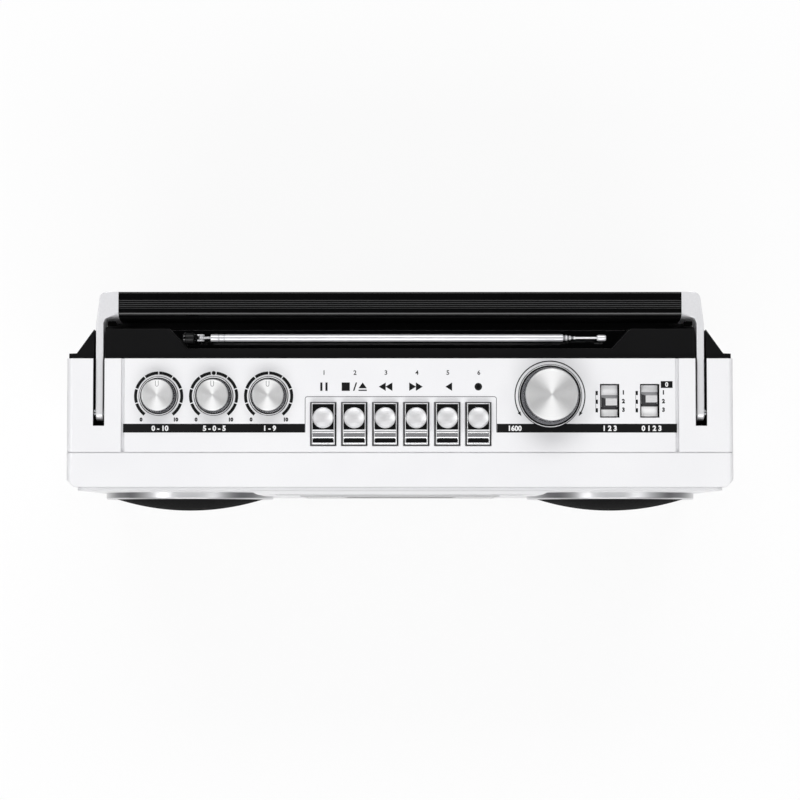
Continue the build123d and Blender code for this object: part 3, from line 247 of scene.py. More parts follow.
ANTENNA_SECTIONS = [f"antenna_section_{number}" for number in (1, 2, 3)]
ON_NODES = {
    silver_lacquer: ["front_cabinet", "front_baffle", "centre_bezel", "middle_cabinet", "control_panel"],
    matt_black: ["rear_cabinet", "slide_switches", "drive_motor", "control_pots"],
    gloss_black_and_shade_paint: ["cassette_door", "mains_inlet"],
    tube_chrome: ["antenna_tube", *ANTENNA_SECTIONS, "antenna_rod"],
    paper: ["speaker_cones"],
    zinc: ["key_shaft", "handle_pivots", "speaker_baskets", "deck_plate", "head_block", "battery_contacts",
           "cabinet_screws", "power_transformer", "flywheel", "tuning_capacitor"],
    ferrite: ["speaker_magnets"],
    brass: ["motor_pulley", "tuning_shaft"],
    board_green: ["main_board"],
    nylon: ["tuning_drum", "supply_spindle", "takeup_spindle"],
    rubber: ["rubber_feet", "drive_belt", "pinch_roller"],
    dial_black: ["dial_plate"],
    red_ink: ["dial_pointer"],
    acrylic: ["dial_lens"],
    smoked: ["door_window"],
}
for material, names in ON_NODES.items():
    for name in names:
        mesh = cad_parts[name].data
        mesh.materials.clear()
        mesh.materials.append(material)


def placed(name, bm, materials):
    """Puts a bmesh with its materials into the scene."""
    mesh = bpy.data.meshes.new(name)
    bm.to_mesh(mesh)
    bm.free()
    for material in materials:
        mesh.materials.append(material)
    piece = bpy.data.objects.new(name, mesh)
    bpy.context.scene.collection.objects.link(piece)
    return piece


def finish(name, bm, body, materials, replaces=(), smooth=35):
    """Turns a bmesh in mm into a finished piece in metres that rides on its body."""
    bmesh.ops.remove_doubles(bm, verts=bm.verts, dist=0.0005)
    bmesh.ops.recalc_face_normals(bm, faces=bm.faces)
    bmesh.ops.scale(bm, vec=(MM, MM, MM), verts=bm.verts)
    for face in bm.faces:
        face.smooth = True
    piece = placed(name, bm, materials)
    piece.data.set_sharp_from_angle(angle=math.radians(smooth))
    even = piece.modifiers.new("even_normals", "WEIGHTED_NORMAL")
    even.keep_sharp = True
    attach(piece, body)
    if replaces:
        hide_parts(*replaces)


def lathe(bm, profile, steps, centre, axis="z", material=0):
    """Spins a profile of radius and height about an upright axis, or about one along X or Y."""
    before = set(bm.faces)
    turn = {"z": Matrix.Identity(3), "y": Matrix.Rotation(math.radians(-90), 3, "X"),
            "x": Matrix.Rotation(math.radians(90), 3, "Y")}[axis]
    corners = [bm.verts.new(turn @ Vector((radius, 0, height)) + Vector(centre))
               for radius, height in profile]
    edges = [bm.edges.new(pair) for pair in zip(corners, corners[1:])]
    bmesh.ops.spin(bm, geom=corners + edges, cent=centre, axis=turn @ Vector((0, 0, 1)), steps=steps,
                   angle=2 * math.pi, use_merge=True, use_duplicate=False)
    for face in bm.faces:
        if face not in before:
            face.material_index = material


def lathe_bands(bm, start, bands, steps, centre, axis="z"):
    """Spins one profile in bands of several materials, each from where the last one ended."""
    for material, points in bands:
        lathe(bm, [start, *points], steps, centre, axis, material)
        start = points[-1]


def ease(bm, edges, radius, segments):
    """Rounds edges, and gives the new faces."""
    return bmesh.ops.bevel(bm, geom=list(edges), offset=radius, segments=segments, affect="EDGES",
                           profile=0.5, material=-1)["faces"]


def run(edge, axis):
    """How far an edge runs along X, Y or Z, which are 0, 1 and 2."""
    return abs(edge.verts[0].co[axis] - edge.verts[1].co[axis])


def cut_across(bm, y):
    """Cuts all faces where a plane square to Y meets them."""
    bmesh.ops.bisect_plane(bm, geom=bm.verts[:] + bm.edges[:] + bm.faces[:], plane_co=(0, y, 0),
                           plane_no=(0, 1, 0))


def box(bm, low, high, round_edges=0.0, segments=2, material=0):
    """A box between two corners, with its edges rounded where a radius is given."""
    low = Vector(low)
    high = Vector(high)
    made = bmesh.ops.create_cube(bm, size=1)["verts"]
    bmesh.ops.scale(bm, vec=high - low, verts=made)
    bmesh.ops.translate(bm, vec=(low + high) / 2, verts=made)
    faces = {face for vert in made for face in vert.link_faces}
    for face in faces:
        face.material_index = material
    if round_edges:
        ease(bm, {edge for vert in made for edge in vert.link_edges}, round_edges, segments)
    return made


def lining(bm, left, right, near, far, low, top, walls):
    """Four upright strips round a window, with the walls' widths on the left, right, front and rear."""
    left_wall, right_wall, near_wall, far_wall = walls
    for start, end in ((left, left + left_wall), (right - right_wall, right)):
        box(bm, (start, near, low), (end, far, top))
    for start, end in ((near, near + near_wall), (far - far_wall, far)):
        box(bm, (left + left_wall, start, low), (right - right_wall, end, top))


def prism(bm, points, low, high, axis="z", material=0):
    """A flat outline drawn out along an axis, from low to high."""
    place = {"z": lambda a, b, c: (a, b, c), "x": lambda a, b, c: (c, a, b)}[axis]
    corners = [bm.verts.new(place(a, b, low)) for a, b in points]
    face = bm.faces.new(corners)
    face.material_index = material
    grown = bmesh.ops.extrude_face_region(bm, geom=[face])["geom"]
    moved = [item for item in grown if isinstance(item, bmesh.types.BMVert)]
    bmesh.ops.translate(bm, vec=place(0, 0, high - low), verts=moved)
    for vert in moved:
        for side in vert.link_faces:
            side.material_index = material


def arc_strip(bm, centre, inner, outer, start, end, low, high, steps=12, material=0):
    """A flat strip bent round a centre. Angles are in degrees, clockwise from the rear."""
    first = math.radians(90 - start)
    direction = Vector((math.cos(first), math.sin(first), 0))
    middle = Vector((centre[0], centre[1], low))
    pair = [bm.verts.new(middle + direction * radius) for radius in (inner, outer)]
    edge = bm.edges.new(pair)
    before = set(bm.faces)
    bmesh.ops.spin(bm, geom=pair + [edge], cent=middle, axis=(0, 0, 1), steps=steps,
                   angle=math.radians(start - end), use_merge=False, use_duplicate=False)
    made = [face for face in bm.faces if face not in before]
    grown = bmesh.ops.extrude_face_region(bm, geom=made)["geom"]
    moved = [item for item in grown if isinstance(item, bmesh.types.BMVert)]
    bmesh.ops.translate(bm, vec=(0, 0, high - low), verts=moved)
    for face in bm.faces:
        if face not in before:
            face.material_index = material


def printed(bm, points):
    """A flat printed shape on the top."""
    prism(bm, points, BODY_TOP, BODY_TOP + INK)


def printed_arc(bm, centre, inner, outer, start, end, steps=12):
    """A printed strip on the top, bent round a centre."""
    arc_strip(bm, centre, inner, outer, start, end, BODY_TOP, BODY_TOP + INK, steps)


def digits(bm, words, centre, height, low, thick, axis="z", bold=0.0):
    """Plain numbers of one height that stand on a face, centred on a point."""
    curve = bpy.data.curves.new("digits", "FONT")
    curve.body = words
    curve.size = 1.0
    curve.offset = bold
    curve.extrude = 0.5
    curve.resolution_u = 3
    carrier = bpy.data.objects.new("digits", curve)
    bpy.context.scene.collection.objects.link(carrier)
    bpy.context.view_layer.update()
    mesh = bpy.data.meshes.new_from_object(carrier.evaluated_get(bpy.context.evaluated_depsgraph_get()))
    bpy.data.objects.remove(carrier)
    bpy.data.curves.remove(curve)
    xs = [vert.co.x for vert in mesh.vertices]
    ys = [vert.co.y for vert in mesh.vertices]
    grow = height / (max(ys) - min(ys))
    middle = Matrix.Translation((-(min(xs) + max(xs)) / 2, -(min(ys) + max(ys)) / 2, 0.5))
    size = Matrix.Diagonal((grow, grow, thick, 1))
    stand = Matrix.Rotation(math.radians(90), 4, "X") if axis == "y" else Matrix.Identity(4)
    spot = (centre[0], low, centre[1]) if axis == "y" else (centre[0], centre[1], low)
    mesh.transform(Matrix.Translation(spot) @ stand @ size @ middle)
    bm.from_mesh(mesh)
    bpy.data.meshes.remove(mesh)


def knurl(bm, centre, low, high, smallest, depth, teeth):
    """Pushes every other line of a skirt inwards, which makes its flutes."""
    for vert in bm.verts:
        spot = vert.co - Vector(centre)
        radius = math.hypot(spot.x, spot.y)
        if low < vert.co.z < high and radius > smallest:
            turn = round(math.atan2(spot.y, spot.x) / (math.pi / teeth))
            if turn % 2:
                vert.co.x -= spot.x / radius * depth
                vert.co.y -= spot.y / radius * depth


def pointer_mark(bm, x, y, z, near, far, half, line):
    """An open U on the knob's cap, its round end towards the middle."""
    ink = 2
    arc_strip(bm, (x, y + near + half), half - line, half, 90, 270, z, z + INK, 10, ink)
    for side in (-1, 1):
        edges = sorted((x + side * half, x + side * (half - line)))
        prism(bm, [(edges[0], y + near + half), (edges[1], y + near + half), (edges[1], y + far),
                   (edges[0], y + far)], z, z + INK, material=ink)


def small_knob(name, x):
    """Knurled knob with a plated flange and a turned aluminium cap."""
    bm = bmesh.new()
    low = BODY_TOP + 0.4
    top = BODY_TOP + 12.0
    centre = (x, KNOB_ROW_Y, 0)
    teeth = 60
    satin, face, _, skirt, groove, rim = range(6)
    lathe_bands(bm, (3.0, low), [
        (satin, [(12.3, low), (12.5, low + 0.2)]),
        # The rim band takes the darkened rim chrome, a painted reflection.
        (rim, [(12.5, low + 0.7), (12.25, low + 1.1), (12.0, low + 1.25)]),
        (satin, [(11.5, low + 1.25)]),
        # The groove between flange and skirt is black: painted shade in the undercut.
        (groove, [(11.3, low + 0.8), (10.9, low + 0.8), (10.8, low + 1.5)]),
        (skirt, [(10.8, low + 1.9), (10.75, low + 2.3), (9.95, top - 1.0), (9.9, top - 0.7)]),
        (satin, [(9.8, top - 0.5), (9.5, top - 0.25)]),
        (face, [(9.35, top - 0.1), (9.1, top - 0.05), (0, top - 0.05)])], 2 * teeth, centre)
    knurl(bm, centre, low + 2.2, top - 0.9, 9.0, 0.6, teeth)
    pointer_mark(bm, x, KNOB_ROW_Y, top - 0.05, 5.3, 8.9, 1.05, 0.32)
    stem_end = 232.6
    lathe(bm, [(3.0, low), (2.98, stem_end), (0, stem_end)], 32, centre)
    cap = turned(f"turned_aluminium_{name}_cap", "#F6F6F6", "#E4E4E4", 0.47, centre, (0, 0, 1))
    finish(f"{name}_knob_detailed", bm, f"{name}_knob",
           [satin_chrome, cap, grey_ink, skirt_chrome, gloss_black_and_shade_paint, rim_chrome_painted_dark], [f"{name}_knob"], 40)


def large_knob():
    """Tuning knob: the same build, larger, with a finer knurl."""
    bm = bmesh.new()
    low = BODY_TOP + 0.4
    top = BODY_TOP + 19.98
    centre = (TUNING_X, KNOB_ROW_Y, 0)
    teeth = 90
    satin, face, skirt, groove, rim = range(5)
    lathe_bands(bm, (3.2, low), [
        (satin, [(19.9, low), (20.1, low + 0.2)]),
        # The rim band takes the darkened rim chrome, a painted reflection.
        (rim, [(20.1, low + 1.0), (19.85, low + 1.5), (19.6, low + 1.65)]),
        (satin, [(19.2, low + 1.65)]),
        # The groove between flange and skirt is black: painted shade in the undercut.
        (groove, [(18.9, low + 1.2), (18.4, low + 1.2), (18.2, low + 2.1)]),
        (skirt, [(18.2, low + 2.6), (18.1, low + 3.0), (16.4, top - 1.3), (16.3, top - 0.9)]),
        (satin, [(16.2, top - 0.6), (15.9, top - 0.3)]),
        (face, [(15.7, top - 0.08), (15.4, top), (0, top)])], 2 * teeth, centre)
    knurl(bm, centre, low + 2.9, top - 1.2, 15.0, 0.9, teeth)
    lathe(bm, [(3.2, low), (3.02, top - 4), (0, top - 4)], 32, centre)
    cap = turned("turned_aluminium_tuning_cap", "#F4F4F4", "#E2E2E2", 0.47, centre, (0, 0, 1))
    finish("tuning_knob_detailed", bm, "tuning_knob",
           [satin_chrome, cap, skirt_chrome, gloss_black_and_shade_paint, rim_chrome_painted_dark], ["tuning_knob"], 40)


def key_x(index):
    """The middle of a key, counted from the left."""
    return KEY_ROW_X + KEY_PITCH * (index - (len(KEY_NAMES) - 1) / 2)


KEY_HALF = 7.3
KEY_REAR_Y = -2.1
KEY_FRONT_Y = -28.1
KEY_STEP_Y = -19.5
KEY_PAD_Z = 244.5
KEY_TREAD_Z = 241.5
KEY_LOW_Z = 231.0
KEY_PIVOT_Y = 12.0
KEY_PIVOT_Z = 233.5
DISH_Y = -11.4
DISH_RADIUS = 6.2
DISH_DEPTH = 1.0
DISH_LIP = DISH_RADIUS + 0.35
DISH_STEPS = 64

# Satin chrome of the dishes with a painted reflection: brightest in the middle, painted greyer towards the
# front and a little greyer towards the rear
dish_painted_reflection = painted_reflection_bands("satin_chrome_dish_painted_reflection", 0.72, 0.42, "#B0B0B2", "#F4F4F5", (DISH_Y - DISH_RADIUS, DISH_Y),
                     (DISH_Y, DISH_Y + 0.8 * DISH_RADIUS), 0.5)


def largest(faces):
    """The face with the largest area."""
    return max(faces, key=lambda face: face.calc_area())


def piano_key(index):
    """Chrome key: a pad with a round satin dish, a step, and a lower tread at the front."""
    bm = bmesh.new()
    x = key_x(index)
    satin, dish = 1, 2
    side = [(KEY_REAR_Y, KEY_LOW_Z), (KEY_REAR_Y, KEY_PAD_Z), (KEY_STEP_Y, KEY_PAD_Z),
            (KEY_STEP_Y - 0.7, KEY_TREAD_Z + 0.8), (KEY_STEP_Y - 3.9, KEY_TREAD_Z),
            (KEY_FRONT_Y, KEY_TREAD_Z - 0.15), (KEY_FRONT_Y, KEY_LOW_Z)]
    prism(bm, side, x - KEY_HALF, x + KEY_HALF, axis="x")
    bmesh.ops.recalc_face_normals(bm, faces=bm.faces)
    rims = [edge for edge in bm.edges
            if min(vert.co.z for vert in edge.verts) > KEY_TREAD_Z - 1 and edge.calc_face_angle(0) > 0.5]
    for face in ease(bm, rims, 0.65, 3):
        face.material_index = satin
    tread = largest(face for face in bm.faces
                    if face.normal.z > 0.97 and face.calc_center_median().y < KEY_STEP_Y - 4)
    bmesh.ops.inset_region(bm, faces=[tread], thickness=0.3, depth=0.0)
    bmesh.ops.inset_region(bm, faces=[tread], thickness=0.85, depth=-0.36)
    pad = largest(face for face in bm.faces
                  if face.normal.z > 0.99 and face.calc_center_median().z > KEY_PAD_Z - 0.1)
    bowl_radius = DISH_RADIUS - 0.3
    steps = 6
    bowl = [(bowl_radius * math.cos(math.pi / 2 * step / steps),
             KEY_PAD_Z - DISH_DEPTH * math.sin(math.pi / 2 * step / steps) ** 2) for step in range(1, steps)]
    lathe_bands(bm, (DISH_LIP, KEY_PAD_Z), [
        (satin, [(DISH_LIP - 0.1, KEY_PAD_Z + 0.2), (DISH_RADIUS - 0.2, KEY_PAD_Z + 0.2),
                 (bowl_radius, KEY_PAD_Z)]),
        (dish, bowl + [(0, KEY_PAD_Z - DISH_DEPTH)])], DISH_STEPS, (x, DISH_Y, 0))
    cut_dish_hole(bm, pad, x)
    neck = 4.0
    box(bm, (x - neck, KEY_REAR_Y - 1, KEY_LOW_Z), (x + neck, KEY_PIVOT_Y, KEY_LOW_Z + 4.0), 0.4)
    lathe(bm, [(1.55, x - neck), (3.0, x - neck), (3.0, x + neck), (1.55, x + neck), (1.55, x - neck)], 32,
          (0, KEY_PIVOT_Y, KEY_PIVOT_Z), axis="x")
    name = f"key_{KEY_NAMES[index]}"
    finish(f"{name}_detailed", bm, name, [chrome, satin_chrome, dish_painted_reflection], [name])


def cut_dish_hole(bm, pad, x):
    """Opens the flat pad where the dish lies, and fills the pad anew between its own edge and the ring."""
    z = pad.calc_center_median().z
    edges = list(pad.edges)
    bmesh.ops.delete(bm, geom=[pad], context="FACES_ONLY")
    ring = bmesh.ops.create_circle(bm, cap_ends=False, radius=DISH_LIP, segments=DISH_STEPS)["verts"]
    bmesh.ops.translate(bm, vec=(x, DISH_Y, z), verts=ring)
    round_edges = [edge for edge in bm.edges if edge.verts[0] in ring and edge.verts[1] in ring]
    bmesh.ops.triangle_fill(bm, use_beauty=True, use_dissolve=False, edges=edges + round_edges,
                            normal=(0, 0, 1))


def key_wells():
    """Grey moulded linings of the six key windows, with a black ledge in the gap round each key as painted
    shadow in that gap.
    """
    bm = bmesh.new()
    low = 236.0
    rear = -1.3
    front = -29.0
    half = 8.3
    wall = 0.28
    ledge = 0.62
    for index in range(len(KEY_NAMES)):
        x = key_x(index)
        lining(bm, x - half, x + half, front, rear, low, BODY_TOP + 0.12, [wall] * 4)
        # Black ledges in the gaps: painted shadow.
        for left, right in ((x - half + wall, x - half + ledge), (x + half - ledge, x + half - wall)):
            box(bm, (left, front + wall, low + 1.2), (right, rear - wall, low + 2.2), material=1)
    finish("key_wells", bm, "cabinet", [grey_well_and_neck_shade, black_ink_and_gap_shade])


def slide_knob(name):
    """Slide switch strip with its raised, ribbed nib, in lit and shaded copies of one silver: painted light
    on the front, painted shade in greys on the rear and the nib.
    """
    bm = bmesh.new()
    x = SWITCH_XS[name]
    y = NIB_YS[name]
    crown_shade_slot, side_shade_slot, strip, rear_shade_slot = 1, 2, 3, 4
    top = PANEL_UNDER - 0.3
    crown_z = BODY_TOP + 1.5
    reach = 17.5
    half = 6.8
    joint_y = y - 3.4
    box(bm, (x - half, SWITCH_Y - reach, top - 1.2), (x + half, joint_y, top), 0.2)
    box(bm, (x - half, joint_y, top - 1.2), (x + half, SWITCH_Y + reach, top), 0.2, material=strip)
    nib = box(bm, (x - 5.2, y - 3.2, top - 0.3), (x + 4.5, y + 3.2, crown_z), material=side_shade_slot)
    upper = [vert for vert in nib if vert.co.z > BODY_TOP]
    for vert in upper:
        vert.co.x = max(vert.co.x, x - 2.7)
        vert.co.y = y + math.copysign(2.15, vert.co.y - y)
    crown = next(face for face in upper[0].link_faces if all(vert in upper for vert in face.verts))
    crown.material_index = crown_shade_slot
    for face in {face for vert in upper for face in vert.link_faces} - {crown}:
        if face.calc_center_median().y > y + 1:
            face.material_index = rear_shade_slot
    # Dark pads at the nib's front and rear feet: painted shadow.
    for near, far, shade in ((-4.6, -3.0, side_shade_slot), (3.0, 4.6, rear_shade_slot)):
        box(bm, (x - 5.2, y + near, top - 0.3), (x + 5.2, y + far, top + 0.12), material=shade)
    bmesh.ops.inset_region(bm, faces=[crown], thickness=0.25, depth=0.1)
    for rib_y in (y - 1.2, y, y + 1.2):
        box(bm, (x - 2.2, rib_y - 0.25, crown_z), (x + 4.0, rib_y + 0.25, crown_z + 0.3), 0.1, 1, crown_shade_slot)
    pin = 1.25
    box(bm, (x - pin, SWITCH_Y - pin, 230.0), (x + pin, SWITCH_Y + pin, top - 0.6))
    finish(f"{name}_slider_detailed", bm, f"{name}_slider",
           [slider_painted_light, nib_crown_painted_shade, nib_side_painted_shade, slider_rear_painted_shade, nib_rear_painted_shade], [f"{name}_slider"])


def switch_frames():
    """Thin black linings of the two switch windows, wider on the right and at the rear as painted shade."""
    bm = bmesh.new()
    half_x = 6.0
    half_y = 10.55
    for x in SWITCH_XS.values():
        # Wider right and rear walls put black where the window walls lie in shade: painted shade.
        lining(bm, x - half_x, x + half_x, SWITCH_Y - half_y, SWITCH_Y + half_y, BODY_TOP - 0.5,
               BODY_TOP + 0.1, (0.6, 1.2, 0.7, 0.8))
    finish("switch_window_frames", bm, "cabinet", [gloss_black_and_shade_paint])


def handle_bar():
    """Grip with a flat band, fine grooves, a rounded front edge and a toe that leans forward."""
    bm = bmesh.new()
    toe = 2.6
    prism(bm, [(GRIP_FRONT_Y, GRIP_TOP), (GRIP_BACK_Y, GRIP_TOP), (GRIP_BACK_Y, GRIP_LOW),
               (GRIP_FRONT_Y - toe, GRIP_LOW)], -GRIP_HALF, GRIP_HALF, axis="x")
    for radius, segments, chosen in (
            (1.1, 5, lambda spot: spot.y > GRIP_FRONT_Y + 1 and spot.z > GRIP_LOW + 1),
            (2.4, 6, lambda spot: spot.z < GRIP_LOW + 1),
            (3.6, 8, lambda spot: spot.y < GRIP_FRONT_Y + 0.01 and spot.z > GRIP_TOP - 0.01)):
        edges = [edge for edge in bm.edges if run(edge, 0) > 1 and chosen(edge.verts[0].co)]
        ease(bm, edges, radius, segments)
    bmesh.ops.recalc_face_normals(bm, faces=bm.faces)
    grooves = 5
    first = 58.0
    pitch = 1.25
    width = 0.7
    for index in range(grooves):
        cut_across(bm, first + pitch * index)
        cut_across(bm, first + pitch * index + width)
    bmesh.ops.recalc_face_normals(bm, faces=bm.faces)
    sunk = []
    for face in bm.faces:
        spot = face.calc_center_median()
        along = (spot.y - first) / pitch
        if face.normal.z > 0.99 and 0 < along < grooves and (along % 1) * pitch < width:
            sunk.append(face)
    bmesh.ops.inset_individual(bm, faces=sunk, thickness=0.33, depth=-0.14)
    finish("handle_grip_detailed", bm, "handle", [grip_black], ["handle_grip"], 40)


def handle_sides():
    """The two silver arms: a bar from the pivot that widens into the grip's end cap, with a black heel of
    painted shade in the inner corner.
    """
    bm = bmesh.new()
    outer = ARM_X + ARM_HALF
    inner = ARM_X - ARM_HALF
    inside = inner - 0.05
    front = -12.8
    plan = [(inner, front), (outer, front), (outer, 47.9), (outer - 2.3, 66.2), (outer - 4.8, GRIP_BACK_Y),
            (GRIP_HALF, GRIP_BACK_Y), (GRIP_HALF, GRIP_FRONT_Y), (inner - 4.2, GRIP_FRONT_Y),
            (inner - 1.2, 51.7), (inner, 48.7)]
    prism(bm, plan, GRIP_LOW, GRIP_TOP)
    bar_end = 46.0
    for y in (bar_end, 52.0):
        cut_across(bm, y)
    for vert in bm.verts:
        if vert.co.z < GRIP_TOP - 1 and vert.co.y < bar_end + 0.1:
            vert.co.z = GRIP_TOP - 10.4
    bmesh.ops.recalc_face_normals(bm, faces=bm.faces)
    nose = [edge for edge in bm.edges
            if all(abs(vert.co.y - front) < 0.01 for vert in edge.verts) and run(edge, 0) > 1]
    ease(bm, nose, 5.0, 8)
    corner = [edge for edge in bm.edges if run(edge, 0) < 0.01 and run(edge, 1) < 0.01
              and edge.verts[0].co.y > 60 and edge.verts[0].co.x > outer - 5]
    ease(bm, corner, 1.2, 4)
    brow = [edge for edge in bm.edges
            if all(abs(vert.co.y - GRIP_FRONT_Y) < 0.01 for vert in edge.verts)
            and min(vert.co.z for vert in edge.verts) > GRIP_TOP - 0.01]
    ease(bm, brow, 3.4, 3)
    rims = [edge for edge in bm.edges
            if edge.calc_face_angle(0) > 0.7 and min(vert.co.x for vert in edge.verts) > GRIP_HALF + 0.1]
    ease(bm, rims, 0.7, 3)
    toe = [(54.0, GRIP_TOP - 1.0), (54.0, GRIP_LOW), (50.3, GRIP_LOW)]
    heel = [(52.0, GRIP_TOP - 14.0), (52.0, GRIP_LOW), (48.7, GRIP_LOW)]
    prism(bm, toe, GRIP_HALF, inside, axis="x")
    # The heel is a black wedge under each cap's inner corner: painted shade where the corner lies in shadow.
    prism(bm, heel, GRIP_HALF + 3.4, inside, axis="x", material=1)
    whole = bm.verts[:] + bm.edges[:] + bm.faces[:]
    bmesh.ops.mirror(bm, geom=whole, matrix=Matrix.Identity(4), merge_dist=0.0001, axis="X")
    finish("handle_arms_detailed", bm, "handle", [arm_silver, gloss_black_and_shade_paint], ["handle_arms"])


def arm_slots():
    """Black linings of the two slots that the arms fold into."""
    bm = bmesh.new()
    wall = 0.3
    gap = 1.2
    front = -16.2
    floor_z = 225.7
    base = floor_z + wall
    top = BODY_TOP - 0.1
    for side in (-1, 1):
        left, right = sorted((side * (ARM_X - ARM_HALF - gap), side * (ARM_X + ARM_HALF + gap)))
        box(bm, (left, front, floor_z), (right, REAR_SEAM_Y, base))
        box(bm, (left, front, base), (right, front + wall, top))
        box(bm, (left, front + wall, base), (left + wall, REAR_SEAM_Y, top))
        box(bm, (right - wall, front + wall, base), (right, REAR_SEAM_Y, top))
    finish("arm_slot_linings", bm, "cabinet", [gloss_black_and_shade_paint])


def antenna_base():
    """Swivel stub in black, with two plated cheeks that hold the antenna's tongue."""
    bm = bmesh.new()
    y, z = ANTENNA_Y, ANTENNA_Z
    hinge = (ANTENNA_HINGE_X, 0, z)
    lathe(bm, [(0, -136.7), (2.7, -136.7), (3.0, -136.4), (3.0, -135.2), (2.0, -135.2), (2.0, -128.8),
               (0, -128.8)], 32, (0, y, z), axis="x")
    box(bm, (-129.8, y - 2.1, z - 2), (-127.6, y + 2.1, z + 2), 0.5)
    for side in (-1, 1):
        near, far = sorted((y + side * 1.15, y + side * 2.15))
        box(bm, (-127.7, near, z - 1.2), (ANTENNA_HINGE_X, far, z + 1.2), 0.25, material=1)
        lathe(bm, [(0, near), (1.6, near), (1.8, near + 0.2), (1.8, far - 0.2), (1.6, far), (0, far)], 32,
              hinge, axis="y", material=1)
    pin = 0.7
    lathe(bm, [(0, y - 2.15), (pin, y - 2.15), (pin, y + 2.15), (0, y + 2.15)], 16, hinge, axis="y",
          material=1)
    finish("antenna_stub_detailed", bm, "antenna_stub", [gloss_black_and_shade_paint, tube_chrome],
           ["antenna_stub"])


def antenna():
    """Telescopic antenna: each tube ends in a rolled lip round the next, thinner one."""
    y, z = ANTENNA_Y, ANTENNA_Z
    centre = (0, y, z)
    start = -119.2
    wall = 0.25
    sizes = [(102.6, 2.33), (105.4, 1.85), (107.6, 1.45), (110.5, 1.05)]
    for index, (body, (end, radius)) in enumerate(zip(["antenna_tube", *ANTENNA_SECTIONS], sizes)):
        first = start + 3.0 * index
        bore = radius - wall
        bm = bmesh.new()
        profile = [(radius - 0.1, first), (radius, first + 0.25)]
        tail = [(radius, end - 0.25), (radius - 0.12, end), (bore + 0.05, end), (bore, end - 0.3),
                (bore, first + 0.2)]
        if index:
            neck = radius - 0.2
            # The neck band before each lip is grey: painted shade in the groove.
            lathe_bands(bm, (bore, first + 0.2), [
                (0, profile + [(radius, end - 2.75), (neck, end - 2.6)]),
                (1, [(neck, end - 1.2)]),
                (0, [(radius, end - 1.05)] + tail)], 40, centre, "x")
        else:
            for crimp in (first + 5.0, first + 8.6):
                profile += [(radius, crimp - 0.45), (radius - 0.28, crimp), (radius, crimp + 0.45)]
            lathe(bm, [(bore, first + 0.2)] + profile + tail, 40, centre, axis="x")
            box(bm, (ANTENNA_HINGE_X, y - 0.6, z - 1.2), (first + 1.2, y + 0.6, z + 1.2), 0.3)
            lathe(bm, [(0, y - 0.95), (1.5, y - 0.95), (1.8, y - 0.6), (1.8, y + 0.6), (1.5, y + 0.95),
                       (0, y + 0.95)], 32, (ANTENNA_HINGE_X, 0, z), axis="y")
            plug = bore + 0.05
            lathe(bm, [(0, first + 0.9), (plug, first + 0.9), (plug, first + 1.5), (0, first + 1.5)], 32,
                  centre, axis="x")
        finish(f"{body}_detailed", bm, body, [tube_chrome, grey_well_and_neck_shade], [body], 30)
    bm = bmesh.new()
    rod = 0.7
    lathe(bm, [(0, start + 12.0), (rod, start + 12.0), (rod, 124.2), (1.5, 124.0), (1.9, 124.4),
               (1.95, 125.0), (1.95, 128.6), (1.75, 129.5), (1.2, 129.9), (0, 130.0)], 40, centre, axis="x")
    finish("antenna_rod_detailed", bm, "antenna_rod", [tube_chrome], ["antenna_rod"], 30)


def speaker_trim():
    """Brushed aluminium trim rings round both speakers, with a polished outer wall whose colour is a painted
    reflection: light where it passes the middle, painted darker in bands towards the sides and partly light
    again at the far sides.
    """
    face = BAFFLE_Y - 4.4
    bm = bmesh.new()
    faces = []
    walls = []
    for index, (name, x) in enumerate((("left", -SPEAKER_X), ("right", SPEAKER_X))):
        centre = (x, 0, SPEAKER_Z)
        lathe_bands(bm, (RING_RADIUS, BAFFLE_Y), [
            (2 + index, [(RING_RADIUS, face + 0.9)]),
            (index, [(56.8, face + 0.4), (56.3, face + 0.05), (55.6, face), (52.8, face), (52.2, face + 0.2),
                     (51.8, face + 0.7), (51.8, BAFFLE_Y), (RING_RADIUS, BAFFLE_Y)])], 144, centre, "y")
        faces.append(turned(f"brushed_aluminium_{name}_ring", "#E2E2E3", "#C4C4C6", 0.32, centre,
                            (0, 1, 0), 0.4))
        # The wall's colour is a painted reflection that darkens it in bands to either side.
        walls.append(painted_reflection_bands(f"polished_aluminium_{name}_wall", 0.6, 0.3, "#F2F2F3", "#7C7C7E",
                            (0.25 * RING_RADIUS, 0.68 * RING_RADIUS), (0.76 * RING_RADIUS, RING_RADIUS),
                            0.55, x))
    finish("speaker_rings_detailed", bm, "cabinet", faces + walls, ["speaker_rings"], 30)


GRILLE_PITCH = 2.0
GRILLE_HOLE = 0.6


